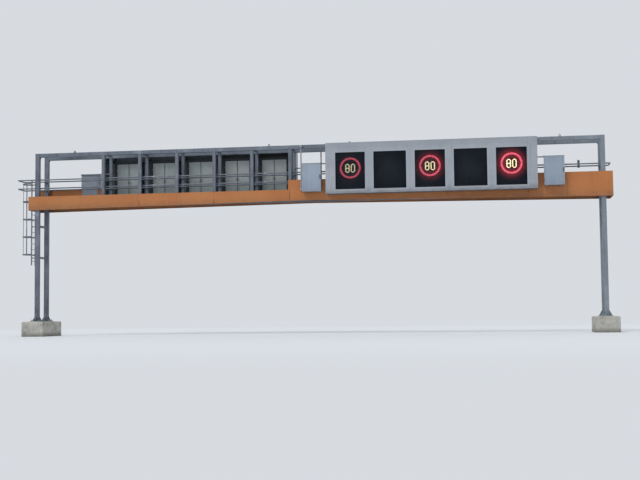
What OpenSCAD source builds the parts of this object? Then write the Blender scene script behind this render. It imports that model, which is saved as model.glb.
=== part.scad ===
// Overhead sign gantry that spans a motorway on four columns.
// X runs along the span, Y from the near face to the far face and Z up.
// The origin is on the ground, at the middle of the left plinth's underside.
// The modules are drawn about mid-span, where the two faces are alike when turned half round,
// and each finished piece is then moved to the origin. All sizes are in millimetres.

/* [Portal frame] */
// Distance between the column centre lines along the span
span = 26350; // [25800:50:30000]
// Distance between the near and the far frame plane
frame_depth = 1100; // [1000:10:1400]
// Clear height for traffic, which is the height of the fascia's lower edge at its ends
clear_h = 6000; // [5000:50:7000]
// Height of the bottom chords' top above the fascia's lower edge
seat_rise = 370; // [340:5:450]
// Height of the frame above the bottom chords' top
frame_h = 2350; // [2200:10:2900]
// Side of the square columns
column_w = 200; // [180:5:240]
// Side of the square top and bottom chords
chord_w = 180; // [140:5:200]
// Side of the square posts between the chords
post_w = 150; // [100:5:160]
// Outer corner radius of the square hollow sections
corner_r = 16; // [6:1:24]
// Distance between neighbouring posts, which is also that between neighbouring displays
bay = 1800; // [1650:5:2000]
// Side of the beams that cross between the bottom chords
floor_beam_w = 100; // [60:5:120]
// Side of the beams that cross between the top chords
top_beam_w = 100; // [60:5:140]
// Side of the ties between the two columns of one end
tie_w = 100; // [60:5:140]
// Distance from the upper column tie up to the fascia's lower edge
tie_drop = 750; // [400:10:1200]
// Distance between the lower and the upper column tie
tie_pitch = 1500; // [1000:10:1800]

/* [Plinths and column feet] */
// Height of the concrete plinths
plinth_h = 700; // [400:10:1000]
// Width of a plinth along the span
plinth_w = 1040; // [800:10:1400]
// Depth of a plinth across the frame
plinth_d = 2300; // [2000:10:3000]
// Chamfer of the plinth's top edges
plinth_chamfer = 40; // [10:5:80]
// Side of the square base plates
base_plate_w = 480; // [400:10:560]
// Thickness of the base plates
base_plate_t = 40; // [20:1:60]
// Height of the gussets that stiffen a column foot
gusset_h = 220; // [100:10:350]
// Thickness of the gussets
gusset_t = 16; // [8:1:30]
// Height of a gusset's outer edge
gusset_toe_h = 36; // [10:1:80]
// Distance from a gusset's outer edge to the base plate's edge
gusset_inset = 20; // [10:1:40]
// Thickness of the cap plate on a column
cap_t = 12; // [6:1:20]
// Thickness of the flange plates at a chord's ends
flange_t = 20; // [10:1:30]
// How far the flange plates stand out below a chord, and also above a bottom chord
flange_lip = 50; // [30:1:60]

/* [Orange fascia] */
// How far the fascia runs past a column's centre line at each end
fascia_overhang = 405; // [300:5:600]
// Rise of the fascia's lower edge from the ends to mid-span
fascia_camber = 140; // [20:5:155]
// Height of the low fascia above the walkway
toe_h = 250; // [150:10:400]
// Height of the tall fascia above the walkway
screen_h = 700; // [600:10:900]
// Distance from the columns' outer faces to the fascia's outer face
fascia_gap = 70; // [46:1:100]
// Thickness of the fascia sheet
fascia_t = 5; // [3:1:6]
// Depth of the flanges folded inward along the fascia's edges
fascia_flange = 40; // [20:1:40]
// Height of the cleats that hold the fascia off the steel
cleat_h = 120; // [60:5:150]
// Thickness of the cleats
cleat_t = 10; // [6:1:20]

/* [Walkway] */
// Gap between the grating and the columns' inner faces
grating_side_gap = 5; // [3:1:40]
// Thickness of the walkway grating
grating_t = 30; // [20:1:50]
// Gap between neighbouring grating panels
grating_gap = 8; // [4:1:20]
// Diameter of the handrail and knee rail
rail_d = 60; // [33:1:64]
// Height of the handrail's centre line above the walkway
rail_h = 1080; // [1000:10:1300]
// Height of the knee rail's centre line above the walkway
knee_rail_h = 670; // [450:10:750]
// Gap between a column's inner side and the rails
rail_gap = 11; // [6:1:30]
// Width of the blocks that hold the rails to the posts
rail_block_w = 60; // [40:5:100]
// Height of the blocks that hold the rails to the posts
rail_block_h = 32; // [20:1:44]
// Centre line radius of the bends where the rails close the ends
rail_bend_r = 70; // [50:5:90]
// Gap between the ladder cage and the rails that pass round it
rail_cage_gap = 66; // [30:1:150]
// Gap between the rails and the fascia's right end
rail_end_gap = 46; // [10:1:100]

/* [Access ladder] */
// How far the ladder runs down past the lower column tie
ladder_tail = 350; // [100:10:900]
// Distance between the centres of the ladder's side rails
ladder_w = 430; // [400:5:500]
// Depth of the ladder's side rails
stile_d = 60; // [40:1:80]
// Thickness of the ladder's side rails
stile_t = 15; // [8:1:20]
// Diameter of the rungs
rung_d = 26; // [20:1:32]
// Distance between the rungs
rung_pitch = 280; // [250:5:300]
// Gap between the fascia's left end and the ladder
ladder_gap = 12; // [8:1:30]
// Height of the arms that hold the ladder to the column ties
ladder_arm_h = 50; // [30:1:90]
// Height of the cage's foot above the ladder's foot
cage_rise = 500; // [300:10:900]
// Distance from the cage's top to the ladder's top
cage_drop = 154; // [100:1:300]
// Number of hoops in the cage
hoop_count = 5; // [3:1:7]
// Distance from the ladder to the middle of the hoops
hoop_reach = 200; // [150:5:260]
// Thickness of the hoops
hoop_t = 8; // [5:1:12]
// Height of the flat bars that make the hoops
hoop_h = 50; // [30:1:70]
// Width of the cage's upright straps
strap_w = 40; // [25:1:60]
// Thickness of the cage's upright straps
strap_t = 6; // [4:1:10]

/* [Sign casing] */
// Displays in one casing, each between two posts
display_count = 5; // [5:1:5]
// Distance from a casing's ends to the bays of its outer displays
casing_margin = 230; // [200:5:300]
// Gap between the first arm and the casing's end wall
casing_side_gap = 5; // [1:1:20]
// How far the casing's underside lies below the bottom chords' top
casing_drop = 10; // [6:1:14]
// How far the casing's top lies below the frame's top
casing_head = 50; // [10:5:150]
// Depth of a sign casing
casing_d = 530; // [480:10:650]
// Thickness of the casing's folded panels
casing_t = 20; // [15:1:20]
// How far the frames round the windows stand proud of the casing's front
frame_t = 5; // [2:1:5]
// Width of those frames
frame_w = 90; // [60:5:120]
// Height of the drip strip along the front's upper edge
drip_h = 30; // [20:5:60]
// Width of the seams between the panels of the casing's front
seam_w = 4; // [3:1:8]
// Depth of those seams
seam_d = 3; // [1:1:3]
// Height of the front's upper panels
top_panel_h = 250; // [150:10:260]
// Width of the windows for the speed displays
speed_window_w = 1350; // [1100:10:1400]
// Width of the windows for the lane displays
lane_window_w = 1470; // [1200:10:1500]
// Height of the casing's front below the windows
window_sill = 180; // [160:5:220]
// Height of the casing's front above the windows
window_head = 450; // [400:5:500]
// How far a display reaches past the sides of its window
display_lap = 20; // [10:1:30]
// How far a display reaches above its window
display_head = 150; // [100:5:180]
// Depth of the pocket in a display's front
pocket_d = 30; // [15:1:60]
// Width of the frame round that pocket
pocket_rim = 15; // [8:1:30]
// Depth of a display housing
display_d = 300; // [280:10:400]
// Width of one leaf of a display's rear door
leaf_w = 580; // [500:10:580]
// Distance from a rear door's foot up from that of its display
leaf_inset = 35; // [10:1:80]
// Distance from a rear door's head down from that of its display
leaf_head = 85; // [40:5:120]
// How far the rear doors stand from the middle of their displays, towards mid-span
door_shift = 50; // [0:5:60]
// Thickness of the rear doors
leaf_t = 25; // [15:1:28]
// Gap between the two leaves of a rear door
leaf_gap = 8; // [4:1:16]
// Depth of the shallow panel pressed into a rear door
leaf_panel_d = 4; // [2:1:8]
// Width of the plain edge round that panel
leaf_rim = 40; // [25:1:80]

/* [Casing brackets] */
// Width of the arms that carry a casing
arm_w = 50; // [40:2:60]
// Height of the arms under the displays
low_arm_h = 60; // [40:5:60]
// Height of the rails that the displays stand on
low_rail_h = 40; // [30:5:50]
// Height of the rails on top of the displays
top_rail_h = 40; // [30:5:60]
// Height of the arms over the displays
top_arm_h = 60; // [40:5:80]
// Width of the rails above and below the displays
shelf_rail_w = 80; // [60:5:120]
// Gap between the arms' tips and the casing's front panel
arm_tip_gap = 60; // [30:5:100]

/* [Equipment cabinets] */
// Width of an equipment cabinet
cabinet_w = 880; // [800:10:980]
// Height of an equipment cabinet
cabinet_h = 1320; // [1200:10:1500]
// Depth of an equipment cabinet
cabinet_d = 380; // [300:10:450]
// Height of a cabinet's underside above the bottom chords' top
cabinet_rise = 140; // [100:5:200]
// Gap between a casing and the cabinet on its mid-span side
inner_cabinet_gap = 240; // [150:5:300]
// Gap between a casing and the cabinet on its outer side
outer_cabinet_gap = 290; // [150:5:400]
// How much lower a cabinet's roof is at the front
roof_fall = 30; // [10:1:60]
// Thickness of a cabinet's roof plate
roof_t = 12; // [8:1:20]
// How far the roof plate stands out at the front and the sides
roof_lap = 20; // [10:1:40]
// Width of the plain edge round the panel in a cabinet's front
cabinet_rim = 70; // [40:5:100]
// Depth of that panel
cabinet_panel_d = 4; // [2:1:8]
// Lap of a cabinet's back over the fascia's cut-out
cabinet_lap = 40; // [20:5:60]
// Gap round a cabinet's rear door
cabinet_door_gap = 4; // [2:1:8]
// Thickness of a cabinet's rear door
cabinet_door_t = 20; // [10:1:30]
// Outer diameter of the cable pipe beside the inner cabinet
pipe_d = 60; // [40:1:64]
// Gap between that pipe and the cabinet's side
pipe_gap = 47; // [45:1:80]
// Height of the pipe's foot above the cabinet's underside
pipe_rise = 190; // [150:10:400]
// Width of the box on the top chord that the cable pipe enters
pipe_box_w = 110; // [90:5:160]
// Height of that box, and of the one at the pipe's foot
pipe_box_h = 90; // [60:5:140]

/* [Small fittings] */
// Distance from mid-span to the inner lifting lugs
inner_lug_x = 1880; // [1500:10:2400]
// Distance from the column centre lines to the outer lifting lugs
outer_lug_inset = 1845; // [1000:5:2500]
// Radius of the hole in a lifting lug
lug_hole_r = 25; // [15:1:30]
// Radius of a lifting lug's round top
lug_r = 50; // [40:1:60]
// Height of the hole above the chord
lug_hole_z = 55; // [50:1:80]
// Thickness of a lifting lug
lug_t = 25; // [12:1:40]
// Distance from the right column's centre line to the sensor
sensor_inset = 1045; // [500:5:1200]
// Width of the sensor
sensor_w = 100; // [60:5:140]
// Height of the sensor
sensor_h = 340; // [250:10:400]
// Depth of the sensor
sensor_d = 90; // [70:5:110]
// Clearance between the sensor's clamp and the rail
clamp_gap = 0.3; // [0.2:0.1:0.6]

/* [Hidden] */

STEEL = [0.42, 0.45, 0.50];
ORANGE = [0.66, 0.42, 0.26];
CONCRETE = [0.72, 0.71, 0.68];
CASING_GREY = [0.62, 0.64, 0.67];
CABINET_BLUE = [0.56, 0.62, 0.68];
DOOR_GREEN = [0.46, 0.50, 0.50];
DISPLAY_BLACK = [0.08, 0.09, 0.11];

$fn = 48;

// Frame planes and the faces of their steel
near_y = -frame_depth / 2;
column_x = span / 2;
column_in = column_x - column_w / 2;
column_out = column_x + column_w / 2;
column_face = near_y - column_w / 2;
post_face = near_y - post_w / 2;
chord_face = near_y - chord_w / 2;

// Heights of the frame
seat_z = clear_h + seat_rise;
frame_top = seat_z + frame_h;
chord_top_z = frame_top - chord_w / 2;
chord_low_z = seat_z - chord_w / 2;
tie_high_z = clear_h - tie_drop;
tie_low_z = tie_high_z - tie_pitch;

// Posts stand in the middle between the displays, from mid-span outward on both sides
arm_x = [for (i = [0 : display_count]) (i + 0.5) * bay];
post_x = concat([for (i = [display_count : -1 : 0]) -arm_x[i]], arm_x);
carrier_x = concat([-column_x], post_x, [column_x]);

// Fascia
fascia_x = column_x + fascia_overhang;
fascia_end = fascia_x - fascia_t;
fascia_face = column_face - fascia_gap;
fascia_back = fascia_face + fascia_t;
step_x = -(bay + post_w) / 2;

// Walkway
floor_z = seat_z + grating_t;
low_fascia_z = floor_z + toe_h;
tall_fascia_z = floor_z + screen_h;
grating_half = -near_y - column_w / 2 - grating_side_gap;
rail_z = floor_z + rail_h;
knee_rail_z = floor_z + knee_rail_h;
rail_y = near_y + column_w / 2 + rail_gap + rail_d / 2;

// Ladder and cage
ladder_x = -fascia_x - ladder_gap;
ladder_z = tie_low_z - ladder_tail;
ladder_top = rail_z + rail_d / 2;
stile_out = ladder_x - stile_d;
hoop_x = stile_out - hoop_reach;
hoop_r = sqrt(pow(ladder_w / 2, 2) + pow(hoop_reach, 2));
cage_z = ladder_z + cage_rise;
cage_h = ladder_top - cage_drop - cage_z;
hoop_pitch = (cage_h - hoop_h) / (hoop_count - 1);

// Ends of the handrails, which close round the cage on the left
rail_x0 = hoop_x - hoop_r - hoop_t / 2 - rail_cage_gap - rail_d / 2;
rail_x1 = fascia_end - rail_end_gap - rail_d / 2;

// Casing and displays
casing_x0 = arm_x[0] - arm_w / 2 - casing_side_gap - casing_t;
casing_x1 = casing_x0 + 2 * casing_margin + display_count * bay;
casing_z = seat_z - casing_drop;
casing_top = frame_top - casing_head;
casing_front = fascia_face - casing_d;
casing_wall = casing_front + frame_t;
window_z = casing_z + window_sill;
window_top = casing_top - window_head;
display_x = [for (i = [0 : display_count - 1]) casing_x0 + casing_margin + (i + 0.5) * bay];
display_z = casing_z + casing_t + low_arm_h + low_rail_h;
display_top = window_top + display_head;
display_front = casing_front + casing_t;
display_back = display_front + display_d;

// Cabinets
cabinet_z = seat_z + cabinet_rise;
cabinet_top = cabinet_z + cabinet_h;
inner_cabinet_x = casing_x0 - inner_cabinet_gap - cabinet_w / 2;
outer_cabinet_x = casing_x1 + outer_cabinet_gap + cabinet_w / 2;
cut_half = cabinet_w / 2 - cabinet_lap;
cabinet_front = fascia_face - cabinet_d;

// Cut-outs in the tall fascia: left side, right side and sill of each
cut_outs = [
    [inner_cabinet_x - cut_half, inner_cabinet_x + cut_half, cabinet_z + cabinet_lap],
    [casing_x0 + casing_t, casing_x1 - casing_t, casing_z + casing_t],
    [outer_cabinet_x - cut_half, outer_cabinet_x + cut_half, cabinet_z + cabinet_lap]
];

// Gives the width of the window of display i: speed and lane displays take turns
function window_w(i) = i % 2 == 0 ? speed_window_w : lane_window_w;

// Gives the height of the fascia's lower edge at x
function edge_z(x) = clear_h + fascia_camber * (1 - abs(x) / fascia_x);

// Gives the face of the steel that a cleat at x is fixed to, low on the fascia
function cleat_seat(x) = abs(x) > column_in ? column_face : chord_face;

// Moves a finished piece from mid-span to the origin at the left plinth
module placed() { translate([column_x, 0, 0]) children(); }

// Turns a piece of the near face round to the far face
module turned() { rotate([0, 0, 180]) children(); }

// Section of a square hollow bar with round corners
module bar_section(w) {
    side = w - 2 * corner_r;
    square([w, side], center = true);
    square([side, w], center = true);
    for (i = [-1, 1], j = [-1, 1])
        translate([i * side / 2, j * side / 2]) circle(r = corner_r);
}

// Square bar along X
module bar_x(x0, x1, y, z, w) {
    translate([x0, y, z]) rotate([90, 0, 90]) linear_extrude(x1 - x0) bar_section(w);
}

// Square bar along Y, as far on one side of the middle as on the other
module bar_y(x, reach, z, w) {
    translate([x, reach, z]) rotate([90, 0, 0]) linear_extrude(2 * reach) bar_section(w);
}

// Square bar along Z
module bar_z(x, y, z0, z1, w) {
    translate([x, y, z0]) linear_extrude(z1 - z0) bar_section(w);
}

// Flat-sided block of width w about x, between the two values of y and of z
module slab(x, w, y, z) {
    translate([x - w / 2, y[0], z[0]]) cube([w, y[1] - y[0], z[1] - z[0]]);
}

// Square plate about the Z axis
module square_plate(w, z, t) {
    slab(0, w, [-w / 2, w / 2], [z, z + t]);
}

// Outline of a plinth seen from one side
module plinth_outline(w) {
    polygon([
        [-w / 2, 0], [w / 2, 0], [w / 2, plinth_h - plinth_chamfer],
        [w / 2 - plinth_chamfer, plinth_h], [plinth_chamfer - w / 2, plinth_h],
        [-w / 2, plinth_h - plinth_chamfer]
    ]);
}

// Concrete plinth with chamfered top edges
module plinth(x) {
    color(CONCRETE) translate([x, 0, 0]) intersection() {
        translate([0, plinth_d / 2, 0]) rotate([90, 0, 0])
            linear_extrude(plinth_d) plinth_outline(plinth_w);
        translate([-plinth_w / 2, 0, 0]) rotate([90, 0, 90])
            linear_extrude(plinth_w) plinth_outline(plinth_d);
    }
}

// Outline of one gusset, from inside the column's wall to near the base plate's edge
module foot_gusset() {
    wall = column_w / 2 - corner_r;
    toe = base_plate_w / 2 - gusset_inset;
    polygon([
        [wall, 0], [toe, 0], [toe, gusset_toe_h],
        [column_w / 2 + corner_r, gusset_h], [wall, gusset_h]
    ]);
}

// Column with its base plate, foot gussets and cap plate
module column(x, y) {
    shaft_z = plinth_h + base_plate_t;
    color(STEEL) translate([x, y, 0]) {
        bar_z(0, 0, shaft_z, frame_top - cap_t, column_w);
        square_plate(base_plate_w, plinth_h, base_plate_t);
        square_plate(column_w, frame_top - cap_t, cap_t);
        for (a = [0 : 90 : 270]) rotate([0, 0, a])
            translate([0, gusset_t / 2, shaft_z]) rotate([90, 0, 0])
                linear_extrude(gusset_t) foot_gusset();
    }
}

// Ties between the near and the far column of one end
module column_ties(x) {
    color(STEEL) for (z = [tie_low_z, tie_high_z])
        bar_y(x, -near_y - column_w / 2, z, tie_w);
}

// Chord between the flange plates at two columns
module chord(y, z) {
    color(STEEL) bar_x(flange_t - column_in, column_in - flange_t, y, z, chord_w);
}

// Bottom chord with the stubs that carry the walkway past the columns
module bottom_chord(y) {
    stub = fascia_end - column_out;
    chord(y, chord_low_z);
    color(STEEL) for (x = [-fascia_end, column_out])
        bar_x(x, x + stub, y, chord_low_z, chord_w);
}

// Flange plates as wide as the columns, between them and the chords' ends
module chord_flanges() {
    inset = column_in - flange_t / 2;
    foot = -chord_w / 2 - flange_lip;
    for (x = [-inset, inset], side = [-1, 1]) color(STEEL) translate([x, side * near_y, 0]) {
        slab(0, flange_t, [-column_w / 2, column_w / 2], [chord_low_z + foot, seat_z + flange_lip]);
        slab(0, flange_t, [-column_w / 2, column_w / 2], [chord_top_z + foot, frame_top]);
    }
}

// Row of posts between the chords of one frame plane
module frame_posts(y) {
    color(STEEL) for (x = post_x)
        bar_z(x, y, seat_z, frame_top - chord_w, post_w);
}

module top_cross_beams() {
    color(STEEL) for (x = post_x)
        bar_y(x, -near_y - chord_w / 2, frame_top - top_beam_w / 2, top_beam_w);
}

// Beams under the grating, at the posts, the columns and the two ends
module floor_cross_beams() {
    end_x = fascia_end - floor_beam_w / 2;
    z = seat_z - floor_beam_w / 2;
    color(STEEL) {
        for (x = concat([-end_x], post_x, [end_x]))
            bar_y(x, -near_y - chord_w / 2, z, floor_beam_w);
        for (x = [-column_x, column_x])
            bar_y(x, -near_y - column_w / 2, z, floor_beam_w);
    }
}

// Grating panels that meet over the floor beams
module walkway_grating() {
    gap = grating_gap / 2;
    joints = concat([gap - fascia_end], carrier_x, [fascia_end - gap]);
    color(STEEL) for (i = [1 : len(joints) - 1])
        slab((joints[i - 1] + joints[i]) / 2, joints[i] - joints[i - 1] - grating_gap,
             [-grating_half, grating_half], [seat_z, floor_z]);
}

// Block that holds a rail to the steel behind it
module rail_block(x, y, z) {
    slab(x, rail_block_w, [y, rail_y], [z - rail_block_h / 2, z + rail_block_h / 2]);
}

// Handrail and knee rail of the near face
module handrail() {
    x0 = rail_x0 + rail_bend_r;
    x1 = rail_x1 - rail_bend_r;
    color(STEEL) for (z = [rail_z, knee_rail_z]) {
        translate([x0, rail_y, z]) rotate([0, 90, 0]) cylinder(h = x1 - x0, d = rail_d);
        for (x = post_x) rail_block(x, near_y + post_w / 2, z);
        for (x = [-column_x, column_x]) rail_block(x, near_y + column_w / 2, z);
    }
}

// Rail across one end, with the bends that meet the two handrails
module end_rail() {
    reach = -rail_y - rail_bend_r;
    rotate([90, 0, 0]) cylinder(h = 2 * reach, d = rail_d, center = true);
    for (side = [-1, 1])
        translate([-rail_bend_r, side * reach, 0]) rotate([0, 0, side > 0 ? 0 : -90])
            rotate_extrude(angle = 90) translate([rail_bend_r, 0]) circle(d = rail_d);
}

module end_rails() {
    color(STEEL) for (z = [rail_z, knee_rail_z]) {
        translate([rail_x0, 0, z]) rotate([0, 0, 180]) end_rail();
        translate([rail_x1, 0, z]) end_rail();
    }
}

// Small sensor box clamped on the near handrail
module rail_sensor() {
    x = column_x - sensor_inset;
    color(STEEL) difference() {
        slab(x, sensor_w, [rail_y - sensor_d / 2, rail_y + sensor_d / 2],
             [rail_z - sensor_h / 2, rail_z + sensor_h / 2]);
        translate([x - sensor_w, rail_y, rail_z]) rotate([0, 90, 0])
            cylinder(h = 2 * sensor_w, d = rail_d + 2 * clamp_gap);
    }
}

// Lug with an eye for a lifting shackle
module lifting_lug(x, y) {
    translate([x, y + lug_t / 2, frame_top]) rotate([90, 0, 0]) linear_extrude(lug_t) difference() {
        union() {
            translate([0, lug_hole_z]) circle(r = lug_r);
            translate([-lug_r, 0]) square([2 * lug_r, lug_hole_z]);
        }
        translate([0, lug_hole_z]) circle(r = lug_hole_r);
    }
}

module lifting_lugs() {
    outer_lug_x = column_x - outer_lug_inset;
    color(STEEL) for (x = [-outer_lug_x, -inner_lug_x, inner_lug_x, outer_lug_x], y = [near_y, -near_y])
        lifting_lug(x, y);
}

// Upright fascia sheet from an outline in X and Z
module fascia_sheet(points) {
    translate([0, fascia_back, 0]) rotate([90, 0, 0]) linear_extrude(fascia_t) polygon(points);
}

// Flange folded inward along an edge that runs from a to b, each given in X and Z
module fascia_fold(a, b) {
    rise = [0, fascia_t];
    translate([0, fascia_back + fascia_flange, 0]) rotate([90, 0, 0])
        linear_extrude(fascia_flange) polygon([a, b, b + rise, a + rise]);
}

// Level flange whose top is at z
module level_fold(x0, x1, z) {
    fascia_fold([x0, z - fascia_t], [x1, z - fascia_t]);
}

// Plate between the fascia's back and the steel that carries it
module fascia_cleat(x, z, seat) {
    slab(x, cleat_t, [fascia_back, seat], [z - cleat_h / 2, z + cleat_h / 2]);
}

// Low half of the near fascia
module fascia_low() {
    foot = [step_x, edge_z(step_x)];
    color(ORANGE) {
        fascia_sheet([
            [-fascia_x, edge_z(fascia_x)], foot, [step_x, low_fascia_z], [-fascia_x, low_fascia_z]
        ]);
        fascia_fold([-fascia_end, edge_z(fascia_end)], foot);
        level_fold(-fascia_end, step_x, low_fascia_z);
        for (x = carrier_x) if (x < step_x)
            fascia_cleat(x, chord_low_z, cleat_seat(x));
    }
}

// Tall half of the near fascia, cut out behind the casing and the cabinets
module fascia_tall() {
    foot = [step_x, edge_z(step_x)];
    crest_x = concat([step_x], [for (c = cut_outs) each [c[0], c[1]]], [fascia_end]);
    crest = [for (i = [len(cut_outs) - 1 : -1 : 0]) let (c = cut_outs[i]) each [
        [c[1], tall_fascia_z], [c[1], c[2]], [c[0], c[2]], [c[0], tall_fascia_z]
    ]];
    color(ORANGE) {
        fascia_sheet(concat([
            [step_x, tall_fascia_z], foot, [0, edge_z(0)],
            [fascia_x, edge_z(fascia_x)], [fascia_x, tall_fascia_z]
        ], crest));
        fascia_fold(foot, [0, edge_z(0)]);
        fascia_fold([0, edge_z(0)], [fascia_end, edge_z(fascia_end)]);
        for (i = [0 : 2 : len(crest_x) - 2]) level_fold(crest_x[i], crest_x[i + 1], tall_fascia_z);
        for (c = cut_outs) level_fold(c[0], c[1], c[2]);
        for (x = carrier_x) if (x > step_x) fascia_cleat(x, chord_low_z, cleat_seat(x));
        fascia_cleat(-bay / 2, tall_fascia_z - cleat_h, post_face);
        fascia_cleat(column_x, tall_fascia_z - cleat_h, column_face);
    }
}

// Plate that closes the fascia's right end
module fascia_end_right() {
    color(ORANGE) slab(fascia_x - fascia_t / 2, fascia_t, [fascia_back, -fascia_back],
                       [clear_h, low_fascia_z]);
}

// Plate that closes the left end, cut down to the walkway where the ladder arrives
module fascia_end_left() {
    y = -fascia_back;
    gate = ladder_w / 2 + stile_t;
    color(ORANGE) translate([-fascia_x, 0, 0]) rotate([90, 0, 90]) linear_extrude(fascia_t) polygon([
        [-y, clear_h], [y, clear_h], [y, low_fascia_z], [gate, low_fascia_z], [gate, floor_z],
        [-gate, floor_z], [-gate, low_fascia_z], [-y, low_fascia_z]
    ]);
}

// Casing of the near face: a shell that is open at the back and has a framed window for each display
module sign_casing() {
    middle = (casing_x0 + casing_x1) / 2;
    length = casing_x1 - casing_x0;
    color(CASING_GREY) difference() {
        union() {
            slab(middle, length, [casing_wall, fascia_face], [casing_z, casing_top]);
            slab(middle, length, [casing_front, casing_wall], [casing_top - drip_h, casing_top]);
            for (i = [0 : display_count - 1])
                slab(display_x[i], window_w(i) + 2 * frame_w, [casing_front, casing_wall],
                     [window_z - frame_w, window_top + frame_w]);
        }
        slab(middle, length - 2 * casing_t, [casing_front + casing_t, fascia_face + casing_t],
             [casing_z + casing_t, casing_top - casing_t]);
        for (i = [0 : display_count - 1])
            slab(display_x[i], window_w(i), [casing_front - casing_t, casing_front + 2 * casing_t],
                 [window_z, window_top]);
        casing_seams(middle, length);
    }
}

// Cuts for the seams: one along the upper panels and one below it between neighbouring windows
module casing_seams(middle, length) {
    reach = [casing_wall - casing_t, casing_wall + seam_d];
    seam_z = casing_top - top_panel_h;
    slab(middle, length + 2 * seam_w, reach, [seam_z, seam_z + seam_w]);
    for (i = [1 : display_count - 1])
        slab(casing_x0 + casing_margin + i * bay, seam_w, reach, [casing_z - seam_w, seam_z]);
}

// Arms that reach from the posts into the casing, with props under its roof
module casing_arms() {
    tip = display_front + arm_tip_gap;
    low_z = casing_z + casing_t;
    top_z = display_top + top_rail_h;
    color(STEEL) for (x = arm_x) {
        slab(x, arm_w, [tip, post_face], [low_z, low_z + low_arm_h]);
        slab(x, arm_w, [tip, post_face], [top_z, top_z + top_arm_h]);
        for (y = [tip, fascia_face - arm_w])
            slab(x, arm_w, [y, y + arm_w], [top_z + top_arm_h, casing_top - casing_t]);
    }
}

// Rails that lie along the arms and hold the displays at foot and head
module display_rails() {
    tip = display_front + arm_tip_gap;
    middle = (arm_x[0] + arm_x[display_count]) / 2;
    length = display_count * bay + arm_w;
    color(STEEL) for (y = [tip, display_back - shelf_rail_w]) {
        slab(middle, length, [y, y + shelf_rail_w], [display_z - low_rail_h, display_z]);
        slab(middle, length, [y, y + shelf_rail_w], [display_top, display_top + top_rail_h]);
    }
}

// Display housing i with a pocket in its front for the light matrix
module display(i) {
    w = window_w(i);
    color(DISPLAY_BLACK) difference() {
        slab(display_x[i], w + 2 * display_lap, [display_front, display_back], [display_z, display_top]);
        slab(display_x[i], w - 2 * pocket_rim, [display_front - pocket_d, display_front + pocket_d],
             [window_z + pocket_rim, window_top - pocket_rim]);
    }
}

// One leaf of a rear door, with a shallow pressed panel on the walkway side
module door_leaf(x) {
    foot = display_z + leaf_inset;
    head = display_top - leaf_head;
    face = display_back + leaf_t;
    color(DOOR_GREEN) difference() {
        slab(x, leaf_w, [display_back, face], [foot, head]);
        slab(x, leaf_w - 2 * leaf_rim, [face - leaf_panel_d, face + leaf_t],
             [foot + leaf_rim, head - leaf_rim]);
    }
}

// Pair of door leaves behind each display
module rear_doors() {
    for (x = display_x, side = [-1, 1])
        door_leaf(x - door_shift + side * (leaf_gap + leaf_w) / 2);
}

// Upright outline in Y and Z, drawn out along X to a block of width w about x
module side_outline(x, w, points) {
    translate([x - w / 2, 0, 0]) rotate([90, 0, 90]) linear_extrude(w) polygon(points);
}

// Body of a cabinet with a shallow panel in its front, up to half way into the roof plate
module cabinet_body(x) {
    roof_line = cabinet_top - roof_t / 2;
    front_fall = roof_fall * cabinet_d / (cabinet_d + roof_lap);
    difference() {
        side_outline(x, cabinet_w, [
            [fascia_face, cabinet_z], [fascia_face, roof_line],
            [cabinet_front, roof_line - front_fall], [cabinet_front, cabinet_z]
        ]);
        slab(x, cabinet_w - 2 * cabinet_rim, [cabinet_front - cabinet_d, cabinet_front + cabinet_panel_d],
             [cabinet_z + cabinet_rim, roof_line - roof_fall - cabinet_rim]);
    }
}

// Roof plate of a cabinet, which falls to the front
module cabinet_roof(x) {
    tip = cabinet_front - roof_lap;
    side_outline(x, cabinet_w + 2 * roof_lap, [
        [fascia_face, cabinet_top - roof_t], [fascia_face, cabinet_top],
        [tip, cabinet_top - roof_fall], [tip, cabinet_top - roof_fall - roof_t]
    ]);
}

// Equipment cabinet with its rear door in the fascia's cut-out
module cabinet(x) {
    lap = cabinet_lap + cabinet_door_gap;
    color(CABINET_BLUE) {
        cabinet_body(x);
        cabinet_roof(x);
        slab(x, cabinet_w - 2 * lap, [fascia_face, fascia_face + cabinet_door_t],
             [cabinet_z + lap, cabinet_top - lap]);
    }
}

// Level bar between two values of x
module level_bar(x0, x1, y, z) {
    slab((x0 + x1) / 2, x1 - x0, y, z);
}

// Rails behind the cabinets: the lower ones hidden by the fascia, the upper ones held by a casing post
module cabinet_rails() {
    low_y = [fascia_back, post_face];
    low_z = [cabinet_z, cabinet_z + cabinet_lap - fascia_t];
    high_y = [fascia_face, post_face];
    high_z = [cabinet_top - cabinet_lap, cabinet_top];
    last_x = arm_x[display_count];
    color(STEEL) {
        level_bar(-arm_x[0], arm_x[0], low_y, low_z);
        level_bar(last_x, column_in, low_y, low_z);
        level_bar(inner_cabinet_x - cabinet_w / 2, arm_x[0], high_y, high_z);
        level_bar(last_x, outer_cabinet_x + cabinet_w / 2, high_y, high_z);
    }
}

// Pipe that takes cables from a box on the inner cabinet's side up to a box on the top chord
module cable_pipe() {
    side = inner_cabinet_x - cabinet_w / 2;
    x = side - pipe_gap - pipe_d / 2;
    y = fascia_face - pipe_d;
    foot = cabinet_z + pipe_rise;
    box_z = chord_top_z - pipe_box_h / 2;
    color(STEEL) {
        translate([x, y, foot]) cylinder(h = box_z - foot, d = pipe_d);
        level_bar(x - pipe_box_w / 2, side, [y - pipe_d, y + pipe_d / 2], [foot - pipe_box_h, foot]);
        slab(x, pipe_box_w, [y - pipe_d, chord_face], [box_z, box_z + pipe_box_h]);
    }
}

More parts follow.
